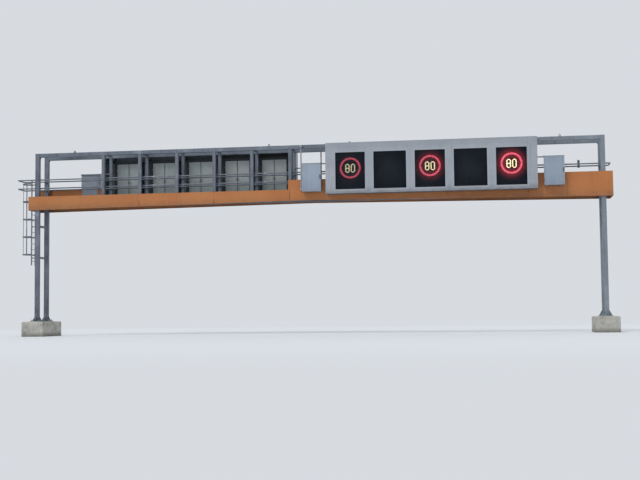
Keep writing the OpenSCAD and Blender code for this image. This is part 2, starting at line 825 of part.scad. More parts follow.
// Ladder with side rails, rungs and arms to the column ties
module access_ladder() {
    rungs = floor((floor_z - ladder_z) / rung_pitch);
    inner = -column_x - tie_w / 2;
    color(STEEL) {
        for (y = [-ladder_w / 2, ladder_w / 2]) {
            slab(ladder_x - stile_d / 2, stile_d, [y - stile_t / 2, y + stile_t / 2], [ladder_z, ladder_top]);
            for (z = [tie_low_z, tie_high_z])
                slab((ladder_x + inner) / 2, inner - ladder_x, [y - stile_t / 2, y + stile_t / 2],
                     [z - ladder_arm_h / 2, z + ladder_arm_h / 2]);
        }
        for (i = [1 : rungs])
            translate([ladder_x - stile_d / 2, ladder_w / 2, floor_z - i * rung_pitch])
                rotate([90, 0, 0]) cylinder(h = ladder_w, d = rung_d);
    }
}

// Hoops of the safety cage, open towards the ladder
module cage_hoops() {
    color(STEEL) for (i = [0 : hoop_count - 1]) translate([hoop_x, 0, cage_z + i * hoop_pitch])
        difference() {
            cylinder(h = hoop_h, r = hoop_r + hoop_t / 2);
            translate([0, 0, -hoop_h]) cylinder(h = 3 * hoop_h, r = hoop_r - hoop_t / 2);
            slab(hoop_reach + hoop_r, 2 * hoop_r, [-2 * hoop_r, 2 * hoop_r], [-hoop_h, 2 * hoop_h]);
        }
}

// Upright straps inside the hoops, from the sides round to the back
module cage_straps() {
    outer = sqrt(pow(hoop_r - hoop_t / 2, 2) - pow(strap_w / 2, 2));
    color(STEEL) translate([hoop_x, 0, 0]) for (a = [90 : 45 : 270]) rotate([0, 0, a])
        slab(outer - strap_t / 2, strap_t, [-strap_w / 2, strap_w / 2], [cage_z, cage_z + cage_h]);
}

placed() plinth(-column_x);  // plinth_left
placed() plinth(column_x);  // plinth_right
placed() column(-column_x, near_y);  // column_left_near
placed() column(-column_x, -near_y);  // column_left_far
placed() column(column_x, near_y);  // column_right_near
placed() column(column_x, -near_y);  // column_right_far
placed() column_ties(-column_x);  // column_ties_left
placed() column_ties(column_x);  // column_ties_right
placed() chord(near_y, chord_top_z);  // top_chord_near
placed() chord(-near_y, chord_top_z);  // top_chord_far
placed() bottom_chord(near_y);  // bottom_chord_near
placed() bottom_chord(-near_y);  // bottom_chord_far
placed() chord_flanges();
placed() frame_posts(near_y);  // frame_posts_near
placed() frame_posts(-near_y);  // frame_posts_far
placed() top_cross_beams();
placed() floor_cross_beams();
placed() walkway_grating();
placed() handrail();  // handrail_near
placed() mirror([0, 1, 0]) handrail();  // handrail_far
placed() end_rails();
placed() rail_sensor();
placed() lifting_lugs();
placed() fascia_low();  // fascia_near_low
placed() fascia_tall();  // fascia_near_tall
placed() turned() fascia_low();  // fascia_far_low
placed() turned() fascia_tall();  // fascia_far_tall
placed() fascia_end_left();
placed() fascia_end_right();
placed() sign_casing();  // sign_casing_near
placed() turned() sign_casing();  // sign_casing_far
placed() casing_arms();  // casing_arms_near
placed() turned() casing_arms();  // casing_arms_far
placed() display_rails();  // display_rails_near
placed() turned() display_rails();  // display_rails_far
placed() display(0);  // display_near_1
placed() display(1);  // display_near_2
placed() display(2);  // display_near_3
placed() display(3);  // display_near_4
placed() display(4);  // display_near_5
placed() turned() display(0);  // display_far_1
placed() turned() display(1);  // display_far_2
placed() turned() display(2);  // display_far_3
placed() turned() display(3);  // display_far_4
placed() turned() display(4);  // display_far_5
placed() rear_doors();  // rear_doors_near
placed() turned() rear_doors();  // rear_doors_far
placed() cabinet(inner_cabinet_x);  // cabinet_near_inner
placed() cabinet(outer_cabinet_x);  // cabinet_near_outer
placed() turned() cabinet(inner_cabinet_x);  // cabinet_far_inner
placed() turned() cabinet(outer_cabinet_x);  // cabinet_far_outer
placed() { cabinet_rails(); turned() cabinet_rails(); }
placed() { cable_pipe(); turned() cable_pipe(); }  // cable_pipes
placed() access_ladder();
placed() cage_hoops();
placed() cage_straps();
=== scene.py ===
"""Overhead sign gantry: finishes, fastenings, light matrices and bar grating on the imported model.

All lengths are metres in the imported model's own frame: X runs along the span, Y from the near
face to the far face and Z up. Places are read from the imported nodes, so that the fittings follow
them. The far face is the near one turned half round about mid-span.
"""

import logging
import math
from dataclasses import dataclass, field, replace
from enum import Enum
from typing import Iterable, Sequence

import bpy
import numpy as np
from mathutils import Matrix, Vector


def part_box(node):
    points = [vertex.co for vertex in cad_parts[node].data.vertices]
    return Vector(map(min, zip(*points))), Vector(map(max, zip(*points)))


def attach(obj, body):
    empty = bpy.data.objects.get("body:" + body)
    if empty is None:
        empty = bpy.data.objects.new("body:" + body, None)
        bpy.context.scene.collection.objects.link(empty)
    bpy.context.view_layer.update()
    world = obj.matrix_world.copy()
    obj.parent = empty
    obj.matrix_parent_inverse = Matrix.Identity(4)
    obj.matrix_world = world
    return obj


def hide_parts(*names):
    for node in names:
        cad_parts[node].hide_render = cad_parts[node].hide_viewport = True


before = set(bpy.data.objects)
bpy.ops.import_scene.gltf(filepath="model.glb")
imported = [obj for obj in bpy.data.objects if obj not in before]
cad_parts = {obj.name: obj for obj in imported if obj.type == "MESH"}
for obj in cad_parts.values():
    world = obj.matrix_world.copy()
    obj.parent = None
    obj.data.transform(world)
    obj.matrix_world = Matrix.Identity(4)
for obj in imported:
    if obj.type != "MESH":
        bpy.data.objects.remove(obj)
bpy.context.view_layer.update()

BODY = "root"
LAP = 0.001  # a fitting's sink into what carries it, and the width of a fine bevel
LOG = logging.getLogger("gantry")

Array = np.ndarray
Pair = tuple[float, float]
Triple = tuple[float, float, float]
Rgb = tuple[float, float, float]
Profile = Sequence[Sequence[float]]
Stretches = tuple[Pair, Pair, Pair]
Socket = bpy.types.NodeSocket


def upright(direction: Sequence[float]) -> Array:
    """Rotation whose third column is a direction and whose second is up where it can be.

    Args:
        direction: the direction, of any length.

    Returns:
        The rotation.
    """
    third = np.asarray(direction, float) / np.linalg.norm(direction)
    first = np.cross([0, 0, 1.0], third) if abs(third[2]) < 1 else np.array([1.0, 0, 0])
    first /= np.linalg.norm(first)
    return np.stack([first, np.cross(third, first), third], -1)


class Aim(Enum):
    """Direction in which a fitting's own Z axis points."""

    UP = (0, 0, 1)
    DOWN = (0, 0, -1)
    LEFT = (-1, 0, 0)
    RIGHT = (1, 0, 0)
    NEAR = (0, -1, 0)
    FAR = (0, 1, 0)


@dataclass(frozen=True)
class Surface:
    """Points of a shape and its faces, each face being a run of point numbers."""

    points: Array
    corners: Array
    sides: Array

    def at(self, places: Array, turn: Aim | Array = Aim.UP) -> "Surface":
        """Copies the shape to many places: each point is the place plus the turned point.

        Args:
            places: one place for each copy.
            turn: one direction or rotation for all copies, or a rotation for each.

        Returns:
            All copies as one surface.
        """
        places = np.atleast_2d(np.asarray(places, float))
        matrix = upright(turn.value) if isinstance(turn, Aim) else turn
        turns = np.broadcast_to(matrix, (len(places), 3, 3))
        points = np.einsum("sij,nj->sni", turns, self.points) + places[:, None]
        shift = np.arange(len(places))[:, None] * len(self.points)
        corners = (self.corners[None] + shift).ravel()
        return Surface(points.reshape(-1, 3), corners, np.tile(self.sides, len(places)))


def joined(parts: Iterable[Surface]) -> Surface:
    """Puts several surfaces into one, with their point numbers shifted.

    Args:
        parts: the surfaces.

    Returns:
        One surface that holds them all.
    """
    parts = list(parts)
    shifts = np.cumsum([0] + [len(p.points) for p in parts[:-1]])
    corners = np.concatenate([p.corners + s for p, s in zip(parts, shifts)])
    points = np.concatenate([p.points for p in parts])
    return Surface(points, corners, np.concatenate([p.sides for p in parts]))


def xyz(x: Array, y: Array, z: Array) -> Array:
    """Rows of points from values on each axis, with single values repeated."""
    return np.stack(np.broadcast_arrays(x, y, z), -1).reshape(-1, 3)


def lattice(x: Sequence[float], y: Sequence[float], z: Sequence[float]) -> Array:
    """Every mixture of the values for X, Y and Z, with Z changing fastest."""
    return xyz(*np.meshgrid(x, y, z, indexing="ij"))


def around(centres: Sequence[float], *steps: float) -> Array:
    """Every centre plus every step."""
    return np.add.outer(np.atleast_1d(centres), steps).ravel()


def edges(low: float, high: float, thick: float) -> tuple[Array, Array]:
    """Low and high values of two strips along the inside of both ends of a stretch."""
    return np.array([low, high - thick]), np.array([low + thick, high])


def spans(x: Sequence[Array], y: Sequence[Array], z: Sequence[Array]) -> Surface:
    """Closed boxes: each corner takes the low or the high value on each axis.

    Args:
        x: low and high value along X, each a number or an array with one for each box.
        y: the same along Y.
        z: the same along Z.

    Returns:
        All boxes as one surface.
    """
    ends = np.stack(np.broadcast_arrays(*x, *y, *z), -1).astype(float).reshape(-1, 3, 2)
    low, high = ends[..., 0], ends[..., 1]
    pick = lattice((0, 1), (0, 1), (0, 1))[:, ::-1]
    faces = np.array([[0, 2, 3, 1], [4, 5, 7, 6], [0, 1, 5, 4], [2, 6, 7, 3], [0, 4, 6, 2], [1, 3, 7, 5]])
    points = low[:, None] + pick * (high - low)[:, None]
    corners = faces.ravel() + len(pick) * np.arange(len(low))[:, None]
    return Surface(points.reshape(-1, 3), corners.ravel(), np.full(len(faces) * len(low), 4))


def skin(rings: Array, loop: bool = False) -> Surface:
    """Closed surface through rings of points, counter-clockwise as seen from the last ring.

    Point j of ring i meets point j of ring i + 1. The two end rings become flat faces, or
    the last ring meets the first one when the surface is a loop.

    Args:
        rings: an array of rings by points by three.
        loop: whether the last ring joins the first.

    Returns:
        The surface.
    """
    count, size = rings.shape[:2]
    ring = np.arange(count if loop else count - 1)[:, None]
    spot = np.arange(size)[None]
    after, beside = (ring + 1) % count, (spot + 1) % size
    here, there = ring * size, after * size
    quads = np.stack([here + spot, here + beside, there + beside, there + spot], -1)
    corners, sides = [quads.ravel()], [np.full(ring.size * size, 4)]
    if not loop:
        corners += [np.arange(size)[::-1], (count - 1) * size + np.arange(size)]
        sides.append(np.array([size, size]))
    return Surface(rings.reshape(-1, 3), np.concatenate(corners), np.concatenate(sides))


def lathe(profile: Profile, count: int, phase: float = 0.0) -> Surface:
    """Solid of revolution about Z: a ring of radius r and height h has the points (r cos a, r sin a, h).

    Args:
        profile: radius and height of each ring, from foot to head.
        count: points on a ring.
        phase: angle of the first point.

    Returns:
        The closed solid.
    """
    radius, height = np.asarray(profile, float).T[:, :, None]
    angle = phase + np.arange(count) * math.tau / count
    return skin(xyz(radius * np.cos(angle), radius * np.sin(angle), height).reshape(-1, count, 3))


def weld_ring(half: float, corner: float, leg: float, steps: int = 3) -> Surface:
    """Three-sided bead at the foot of a square bar with round corners, which stands along Z.

    The bead's outline at an offset o is the corner's centre plus (corner + o) times the
    direction of the angle. Its section runs from the leg out on the floor, up to the leg's
    height on the bar, and down to a root inside the bar, a quarter of the leg deep.

    Args:
        half: half the side of the bar.
        corner: corner radius of the bar.
        leg: leg of the bead.
        steps: pieces in each round corner.

    Returns:
        The closed bead.
    """
    quarter = np.linspace(0, math.pi / 2, steps + 1)
    angle = around(np.arange(4) * math.pi / 2, *quarter)
    centre = np.repeat(np.array([[1, 1], [-1, 1], [-1, -1], [1, -1]]) * (half - corner), steps + 1, axis=0)
    reach = corner + np.array([leg, 0.0, -leg / 4])
    x, y = (centre[:, [i]] + reach * way(angle)[:, None] for i, way in enumerate((np.cos, np.sin)))
    return skin(xyz(x, y, [0.0, leg, 0.0]).reshape(len(angle), 3, 3), loop=True)


def facing(shape: Surface, x: Sequence[float], ys: Pair, z: Sequence[float], outward: bool) -> Surface:
    """Copies a shape to a near and a far plane, where it points along Y.

    Args:
        shape: the shape, which points along its own Z axis.
        x: places along X.
        ys: the near and the far plane.
        z: heights.
        outward: whether the shape points away from the other plane, and not towards it.

    Returns:
        All copies as one surface.
    """
    aims = (Aim.NEAR, Aim.FAR) if outward else (Aim.FAR, Aim.NEAR)
    return joined(shape.at(lattice(x, y, z), aim) for aim, y in zip(aims, ys))


@dataclass(frozen=True)
class Box:
    """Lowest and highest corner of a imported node."""

    low: Array
    high: Array

    @classmethod
    def of(cls, node: str) -> "Box":
        """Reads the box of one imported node."""
        return cls(*(np.array(corner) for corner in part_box(node)))

    @property
    def middle(self) -> Array:
        """Centre of the box."""
        return (self.low + self.high) / 2

    @property
    def size(self) -> Array:
        """Lengths of the box."""
        return self.high - self.low

    @property
    def hinge_levels(self) -> Array:
        """Heights at one, three and five sixths of the box."""
        return np.linspace(self.low[2], self.high[2], 7)[1::2]


@dataclass(frozen=True)
class Layout:
    """Places that several sub-assemblies share.

    The ends are the X of the left and the right column, and the planes the Y of the near and
    the far frame.
    """

    ends: Pair
    planes: Pair
    posts: Array
    post_w: float

    @classmethod
    def read(cls, post_count: int = 12) -> "Layout":
        """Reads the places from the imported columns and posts.

        Args:
            post_count: posts in one frame plane.

        Returns:
            The layout.
        """
        posts = Box.of("frame_posts_near")
        width, depth = posts.size[1], -posts.middle[1]
        centres = np.linspace(posts.low[0] + width / 2, posts.high[0] - width / 2, post_count)
        ends = tuple(Box.of(f"column_{end}_near").middle[0] for end in ("left", "right"))
        return cls(ends, (-depth, depth), centres, width)

    @property
    def middle(self) -> float:
        """X of mid-span."""
        return sum(self.ends) / 2

    @property
    def bay(self) -> float:
        """Distance between neighbouring posts."""
        return self.posts[1] - self.posts[0]

    @property
    def carriers(self) -> Array:
        """X of the columns and posts, from left to right."""
        return np.array([self.ends[0], *self.posts, self.ends[1]])


class Face(Enum):
    """The two faces of the gantry, which are alike when turned half round."""

    NEAR = "near"
    FAR = "far"

    def place(self, shape: Surface, middle: float) -> Surface:
        """Leaves a near shape, or turns it half round about mid-span."""
        half_turn = np.diag([-1.0, -1.0, 1.0])
        return shape if self is Face.NEAR else shape.at([2 * middle, 0, 0], half_turn)

    def local(self, node: str, middle: float) -> Box:
        """Reads a node's box as if it were on the near face.

        Args:
            node: the node's name.
            middle: X of mid-span.

        Returns:
            The box, turned half round if the face is the far one.
        """
        box = Box.of(node)
        if self is Face.NEAR:
            return box
        return Box(*np.sort(np.array([box.low, box.high]) * [-1, -1, 1] + [2 * middle, 0, 0], axis=0))


def linear(colour: Rgb) -> tuple[float, float, float, float]:
    """Turns a colour as seen on a screen into linear light, by the screen's own curve.

    Args:
        colour: red, green and blue from 0 to 1.

    Returns:
        Linear red, green, blue and an alpha of 1.
    """
    seen = np.asarray(colour, float)
    light = np.where(seen <= 0.04045, seen / 12.92, ((seen + 0.055) / 1.055) ** 2.4)
    return (*light.tolist(), 1.0)


class Wiring:
    """A node tree under construction."""

    def __init__(self, tree: bpy.types.NodeTree) -> None:
        """Keeps the tree."""
        self.tree = tree

    def feed(self, socket: Socket, value: object) -> None:
        """Links a socket into an input, or sets the input's value.

        Args:
            socket: the input.
            value: a socket or a plain value.
        """
        if isinstance(value, Socket):
            self.tree.links.new(value, socket)
        else:
            socket.default_value = value

    def node(self, kind: str, *values: object, **named: object) -> bpy.types.Node:
        """Adds a node, sets its options and feeds its inputs.

        Args:
            kind: the node's type, without the words that all of them start with.
            values: sockets or plain values for the first inputs, in order.
            named: options in small letters, and inputs with a capital and underscores for spaces.

        Returns:
            The node.
        """
        made = self.tree.nodes.new(f"ShaderNode{kind}")
        inputs = dict(enumerate(values))
        for key, value in named.items():
            if key[0].islower():
                setattr(made, key, value)
            else:
                inputs[key.replace("_", " ")] = value
        for key, value in inputs.items():
            self.feed(made.inputs[key], value)
        return made

    def calc(self, what: str, a: object, b: object = 0.0, clamp: bool = False) -> Socket:
        """Arithmetic on one or two values, which the clamp keeps from 0 to 1."""
        return self.node("Math", a, b, operation=what, use_clamp=clamp).outputs[0]

    def times(self, first: object, *others: object) -> Socket:
        """Product of sockets and plain values.

        Args:
            first: the first of them.
            others: the others.

        Returns:
            The product.
        """
        for other in others:
            first = self.calc("MULTIPLY", first, other)
        return first

    def seen(self) -> Socket:
        """One for what the camera, gloss and glass see, and zero for all other light.

        Returns:
            The value.
        """
        ray = self.node("LightPath").outputs
        gloss = self.calc("MAXIMUM", ray["Is Camera Ray"], ray["Is Glossy Ray"])
        return self.calc("MAXIMUM", gloss, ray["Is Transmission Ray"])


@dataclass(frozen=True)
class Cloud:
    """A cloudy pattern around 0.5, the soft step that is cut from it, and its relief.

    The scale is in blotches a metre on each axis, the detail in octaves, and rough is the share
    of the fine ones. The relief has a depth in metres, of which a share shows.
    """

    scale: Triple
    detail: float = 4.0
    rough: float = 0.55
    step: Pair = (0.0, 1.0)
    to: Pair = (0.0, 1.0)
    depth: float = 0.0
    share: float = 1.0


class Coat(Wiring):
    """A node material under construction, whose patterns read Object coordinates in metres."""

    COLOUR_INPUTS = (6, 7)
    COLOUR_OUTPUT = 2

    def __init__(self, name: str) -> None:
        """Makes an empty material with one surface shader.

        Args:
            name: the material's name.
        """
        self.material = bpy.data.materials.new(name)
        self.material.use_nodes = True
        super().__init__(self.material.node_tree)
        self.shader = self.tree.nodes["Principled BSDF"]
        self.place = self.node("TexCoord").outputs["Object"]

    def axis(self, name: str) -> Socket:
        """One of the three Object coordinates."""
        return self.node("SeparateXYZ", self.place).outputs[name]

    def away(self, value: Socket, centre: float = 0.0) -> Socket:
        """Distance of a value from a level."""
        return self.calc("ABSOLUTE", self.calc("SUBTRACT", value, centre))

    def between(self, value: Socket, low: float, high: float) -> Socket:
        """One where a value lies between two levels, and zero elsewhere."""
        return self.times(self.calc("GREATER_THAN", value, low), self.calc("LESS_THAN", value, high))

    def ramp(self, value: Socket, step: Pair, to: Pair = (0.0, 1.0)) -> Socket:
        """Soft step of a value between two levels, from one result to the other."""
        return self.node("MapRange", value, *step, *to, interpolation_type="SMOOTHSTEP").outputs[0]

    def noise(self, cloud: Cloud) -> Socket:
        """The cloudy pattern itself.

        Args:
            cloud: the pattern's scale, detail and roughness.

        Returns:
            The pattern.
        """
        place = self.node("Mapping", Vector=self.place, Scale=cloud.scale).outputs[0]
        return self.node("TexNoise", Vector=place, Scale=1.0, Detail=cloud.detail,
                         Roughness=cloud.rough).outputs[0]

    def patch(self, cloud: Cloud, top: float | None = None) -> Socket:
        """The soft step cut from a cloudy pattern, or a step from nothing to the given top."""
        return self.ramp(self.noise(cloud), cloud.step, cloud.to if top is None else (0.0, top))

    def stain(self, body: object, cloud: Cloud, colour: Rgb, top: float | None = None) -> Socket:
        """Blends a colour over the body where a cloudy pattern is high."""
        return self.mix(self.patch(cloud, top), body, colour)

    def relief(self, cloud: Cloud, under: Socket | None = None) -> Socket:
        """Relief of a cloudy pattern, over another one where that is given."""
        return self.bump(self.noise(cloud), cloud.depth, cloud.share, under)

    def bump(self, height: Socket, depth: float, share: float, under: Socket | None = None) -> Socket:
        """Relief of a height pattern, over another one where that is given."""
        below = {} if under is None else {"Normal": under}
        return self.node("Bump", Height=height, Distance=depth, Strength=share, **below).outputs[0]

    def grain(self, size: float, channel: int) -> Socket:
        """Random value of each cell of a pattern with so many cells a metre."""
        cells = self.node("TexVoronoi", Vector=self.place, Scale=size)
        return self.node("SeparateXYZ", cells.outputs["Color"]).outputs[channel]

    def lot(self, size: Triple) -> Socket:
        """Random value of each block of the given size."""
        block = self.node("VectorMath", self.place, size, operation="SNAP").outputs[0]
        return self.node("TexWhiteNoise", Vector=block).outputs["Value"]

    def mix(self, share: object, a: object, b: object) -> Socket:
        """Blends two colours.

        Args:
            share: how much of the second colour there is.
            a: the first colour, as a socket or as seen on a screen.
            b: the second colour, likewise.

        Returns:
            The colour.
        """
        made = self.node("Mix", share, data_type="RGBA")
        for slot, colour in zip(self.COLOUR_INPUTS, (a, b)):
            self.feed(made.inputs[slot], linear(colour) if isinstance(colour, tuple) else colour)
        return made.outputs[self.COLOUR_OUTPUT]

    def shade(self, colour: object, factor: Socket) -> Socket:
        """Multiplies a colour by a grey value."""
        colour = linear(colour)[:3] if isinstance(colour, tuple) else colour
        return self.node("VectorMath", colour, Scale=factor, operation="SCALE").outputs[0]

    def tinted(self, body: Socket, lot: Socket, spread: float) -> Socket:
        """Shades a colour by up to half the spread either way, as a random value says."""
        return self.shade(body, self.calc("ADD", self.times(lot, spread), 1 - spread / 2))

    def toned(self, value: Socket, tones: Sequence[Rgb], levels: Triple, top: float = 1.0) -> Socket:
        """Colour that passes through three tones as a value rises.

        Args:
            value: the value.
            tones: the three colours.
            levels: where the first tone ends, where the second is whole and where the third is.
            top: how much of the third tone there is in the end.

        Returns:
            The colour.
        """
        body = self.mix(self.ramp(value, levels[:2]), tones[0], tones[1])
        return self.mix(self.ramp(value, levels[1:], (0.0, top)), body, tones[2])

    def done(self, **sockets: object) -> bpy.types.Material:
        """Feeds the shader's sockets and gives the material.

        Args:
            sockets: values by socket name, with underscores for spaces.

        Returns:
            The finished material.
        """
        for key, value in sockets.items():
            self.feed(self.shader.inputs[key.replace("_", " ")], value)
        return self.material


@dataclass(frozen=True)
class Finish:
    """What every finish has: a name, and a method that makes its material."""

    name: str

    def build(self) -> bpy.types.Material:
        """Plain material; each finish makes its own instead."""
        return Coat(self.name).done()


@dataclass(frozen=True)
class Zinc(Finish):
    """Hot-dip galvanised steel that has weathered to a dull blue-grey.

    It is paler towards the right end, between the two X of the fresh stretch.
    """

    name: str = "weathered_zinc"
    colour: Rgb = (0.415, 0.445, 0.49)
    dark: Rgb = (0.32, 0.35, 0.39)
    pale: Rgb = (0.55, 0.585, 0.62)
    grime: Rgb = (0.235, 0.225, 0.215)
    rust: Rgb = (0.40, 0.25, 0.16)
    spangle: float = 45.0
    spangle_spread: float = 0.16
    grime_share: float = 0.5
    rust_share: float = 0.35
    roughness: Pair = (0.46, 0.66)
    metallic: float = 0.3
    fresh: Pair = (6.0, 26.0)
    fresh_share: float = 0.50
    oxide: Cloud = Cloud((1.1, 1.1, 1.1), 5.0, 0.6, step=(0.35, 0.65))
    oxide_levels: Triple = (0.30, 0.52, 0.74)
    bloom: Cloud = Cloud((7.0, 7.0, 4.0), 6.0, 0.7, (0.60, 0.78), (0.0, 0.5), 0.0012, 0.4)
    streak: Cloud = Cloud((16.0, 16.0, 0.7), rough=0.6, step=(0.52, 0.72))
    speck: Cloud = Cloud((22.0, 22.0, 9.0), 5.0, 0.7, (0.66, 0.74))
    rusty: Cloud = Cloud((0.9, 0.9, 0.9), 2.0, step=(0.50, 0.62))
    skin: Cloud = Cloud((260.0, 260.0, 260.0), 3.0, depth=0.0004, share=0.35)

    def build(self) -> bpy.types.Material:
        """Zinc flakes, cloudy oxide, bloom, run-off streaks and specks of rust.

        Returns:
            The material.
        """
        coat = Coat(self.name)
        cloud = coat.noise(self.oxide)
        body = coat.toned(cloud, (self.dark, self.colour, self.pale), self.oxide_levels)
        body = coat.tinted(body, coat.grain(self.spangle, 0), self.spangle_spread)
        body = coat.stain(body, self.bloom, self.pale)
        body = coat.mix(coat.ramp(coat.axis("X"), self.fresh, (0.0, self.fresh_share)), body, self.pale)
        body = coat.stain(body, self.streak, self.grime, self.grime_share)
        specks = coat.times(coat.patch(self.speck), coat.patch(self.rusty, self.rust_share))
        body = coat.mix(specks, body, self.rust)
        return coat.done(Base_Color=body, Roughness=coat.ramp(cloud, self.oxide.step, self.roughness),
                         Metallic=self.metallic, Normal=coat.relief(self.bloom, coat.relief(self.skin)))


@dataclass(frozen=True)
class SheetPaint(Finish):
    """Satin paint on folded sheet, with a tint for each panel, rain streaks and road film.

    Panels of one width are counted from the start. The film lies thickest at the first of its
    two heights and ends at the second.
    """

    colour: Rgb
    faded: Rgb
    grime: Rgb
    panel: float
    start: float
    film: Pair
    film_share: float = 0.5
    streak_share: float = 0.35
    roughness: Pair = (0.36, 0.58)
    chips: Rgb = (0.55, 0.55, 0.54)
    panel_spread: float = 0.10
    film_rough: float = 0.25
    rough_step: Pair = (0.30, 0.70)
    fade: Cloud = Cloud((0.55, 0.55, 0.9), 4.0, 0.6, (0.36, 0.66), (0.0, 0.75))
    dust: Cloud = Cloud((34.0, 34.0, 34.0), 4.0, 0.7, (0.50, 0.80), (0.0, 0.22))
    streak: Cloud = Cloud((20.0, 20.0, 0.8), 4.0, 0.6, (0.53, 0.74))
    mottle: Cloud = Cloud((2.5, 2.5, 5.0), 6.0, 0.7, (0.32, 0.66), (0.35, 1.0))
    chip: Cloud = Cloud((15.0, 15.0, 15.0), 6.0, 0.8, (0.755, 0.775), (0.0, 0.8), 0.0003, 0.5)
    dents: Cloud = Cloud((0.9, 0.9, 0.9), 1.0, depth=0.004, share=0.35)
    peel: Cloud = Cloud((420.0, 420.0, 420.0), 2.0, depth=0.0002, share=0.3)

    def build(self) -> bpy.types.Material:
        """Fades in broad clouds, darkens along the lower edge and under the streaks.

        Returns:
            The material.
        """
        coat = Coat(self.name)
        past = coat.calc("DIVIDE", coat.calc("SUBTRACT", coat.axis("X"), self.start), self.panel)
        lot = coat.node("TexWhiteNoise", noise_dimensions="1D", W=coat.calc("FLOOR", past)).outputs["Value"]
        cloud = coat.noise(self.fade)
        body = coat.mix(coat.ramp(cloud, self.fade.step, self.fade.to), self.colour, self.faded)
        body = coat.tinted(body, lot, self.panel_spread)
        body = coat.stain(body, self.dust, self.grime)
        body = coat.stain(body, self.streak, self.grime, self.streak_share)
        low = coat.ramp(coat.axis("Z"), self.film[::-1], (0.0, self.film_share))
        film = coat.times(low, coat.patch(self.mottle))
        body = coat.mix(film, body, self.grime)
        chip = coat.patch(self.chip)
        body = self.trimmed(coat, coat.mix(chip, body, self.chips))
        even = coat.ramp(cloud, self.rough_step, self.roughness)
        rough = coat.calc("ADD", even, coat.times(film, self.film_rough), True)
        peel = coat.relief(self.peel, coat.relief(self.dents))
        return coat.done(Base_Color=body, Roughness=rough,
                         Normal=coat.bump(chip, self.chip.depth, self.chip.share, peel))

    def trimmed(self, coat: Coat, body: Socket) -> Socket:
        """Leaves the colour as it is; a paint with parts of its own colour changes it."""
        return body


@dataclass(frozen=True)
class CasingPaint(SheetPaint):
    """Casing paint: paler window frames as a painted highlight, duller upper panels, painted shade inside,
    and a dark foot that is painted shade and road grime.

    The parts are told apart by the distance from mid-span, the distance from the XZ plane and
    the height, which are alike for both casings.
    """

    middle: float = 0.0
    reach: Pair = (0.0, 0.0)
    front: float = 0.0
    level: Pair = (0.0, 0.0)
    wall: float = 0.019
    frame_t: float = 0.003
    # share of the painted highlight on the window frames' fronts
    frame_share: float = 0.45
    band: float = 0.25
    band_share: float = 0.08
    # painted shade inside the casing, dark in the middle and lighter towards the open ends, where more light
    # gets in
    inside: Rgb = (0.13, 0.135, 0.145)
    outer: Rgb = (0.42, 0.47, 0.48)
    # painted shade on the casing's underside, partly road grime
    soot: Rgb = (0.20, 0.19, 0.185)
    soot_share: float = 0.7

    def trimmed(self, coat: Coat, body: Socket) -> Socket:
        """Paints a highlight on the frames, tints the upper panels, paints shade with some grime on the foot,
        and paints shade on what lies inside the walls.

        Args:
            coat: the material under construction.
            body: its colour so far.

        Returns:
            The colour.
        """
        out, deep, high = coat.away(coat.axis("X"), self.middle), coat.away(coat.axis("Y")), coat.axis("Z")
        # rows: paler frame fronts as a painted highlight, a duller upper band, and a dark foot of painted
        # shade and road grime
        for side, value, level, share, colour in (
            ("GREATER_THAN", deep, self.front - self.frame_t, self.frame_share, self.faded),
            ("GREATER_THAN", high, self.level[1] - self.band, self.band_share, self.grime),
            ("LESS_THAN", high, self.level[0] + self.frame_t / 3, self.soot_share, self.soot),
        ):
            body = coat.mix(coat.times(coat.calc(side, value, level), share), body, colour)
        # painted shade on what lies inside the walls, lighter towards the casing's ends
        shaded_inside = coat.times(coat.between(out, self.reach[0] + self.wall, self.reach[1] - self.wall),
                           coat.between(high, self.level[0] + self.wall, self.level[1] - self.wall),
                           coat.calc("LESS_THAN", deep, self.front - self.wall))
        return coat.mix(shaded_inside, body, coat.mix(coat.ramp(out, self.reach), self.inside, self.outer))


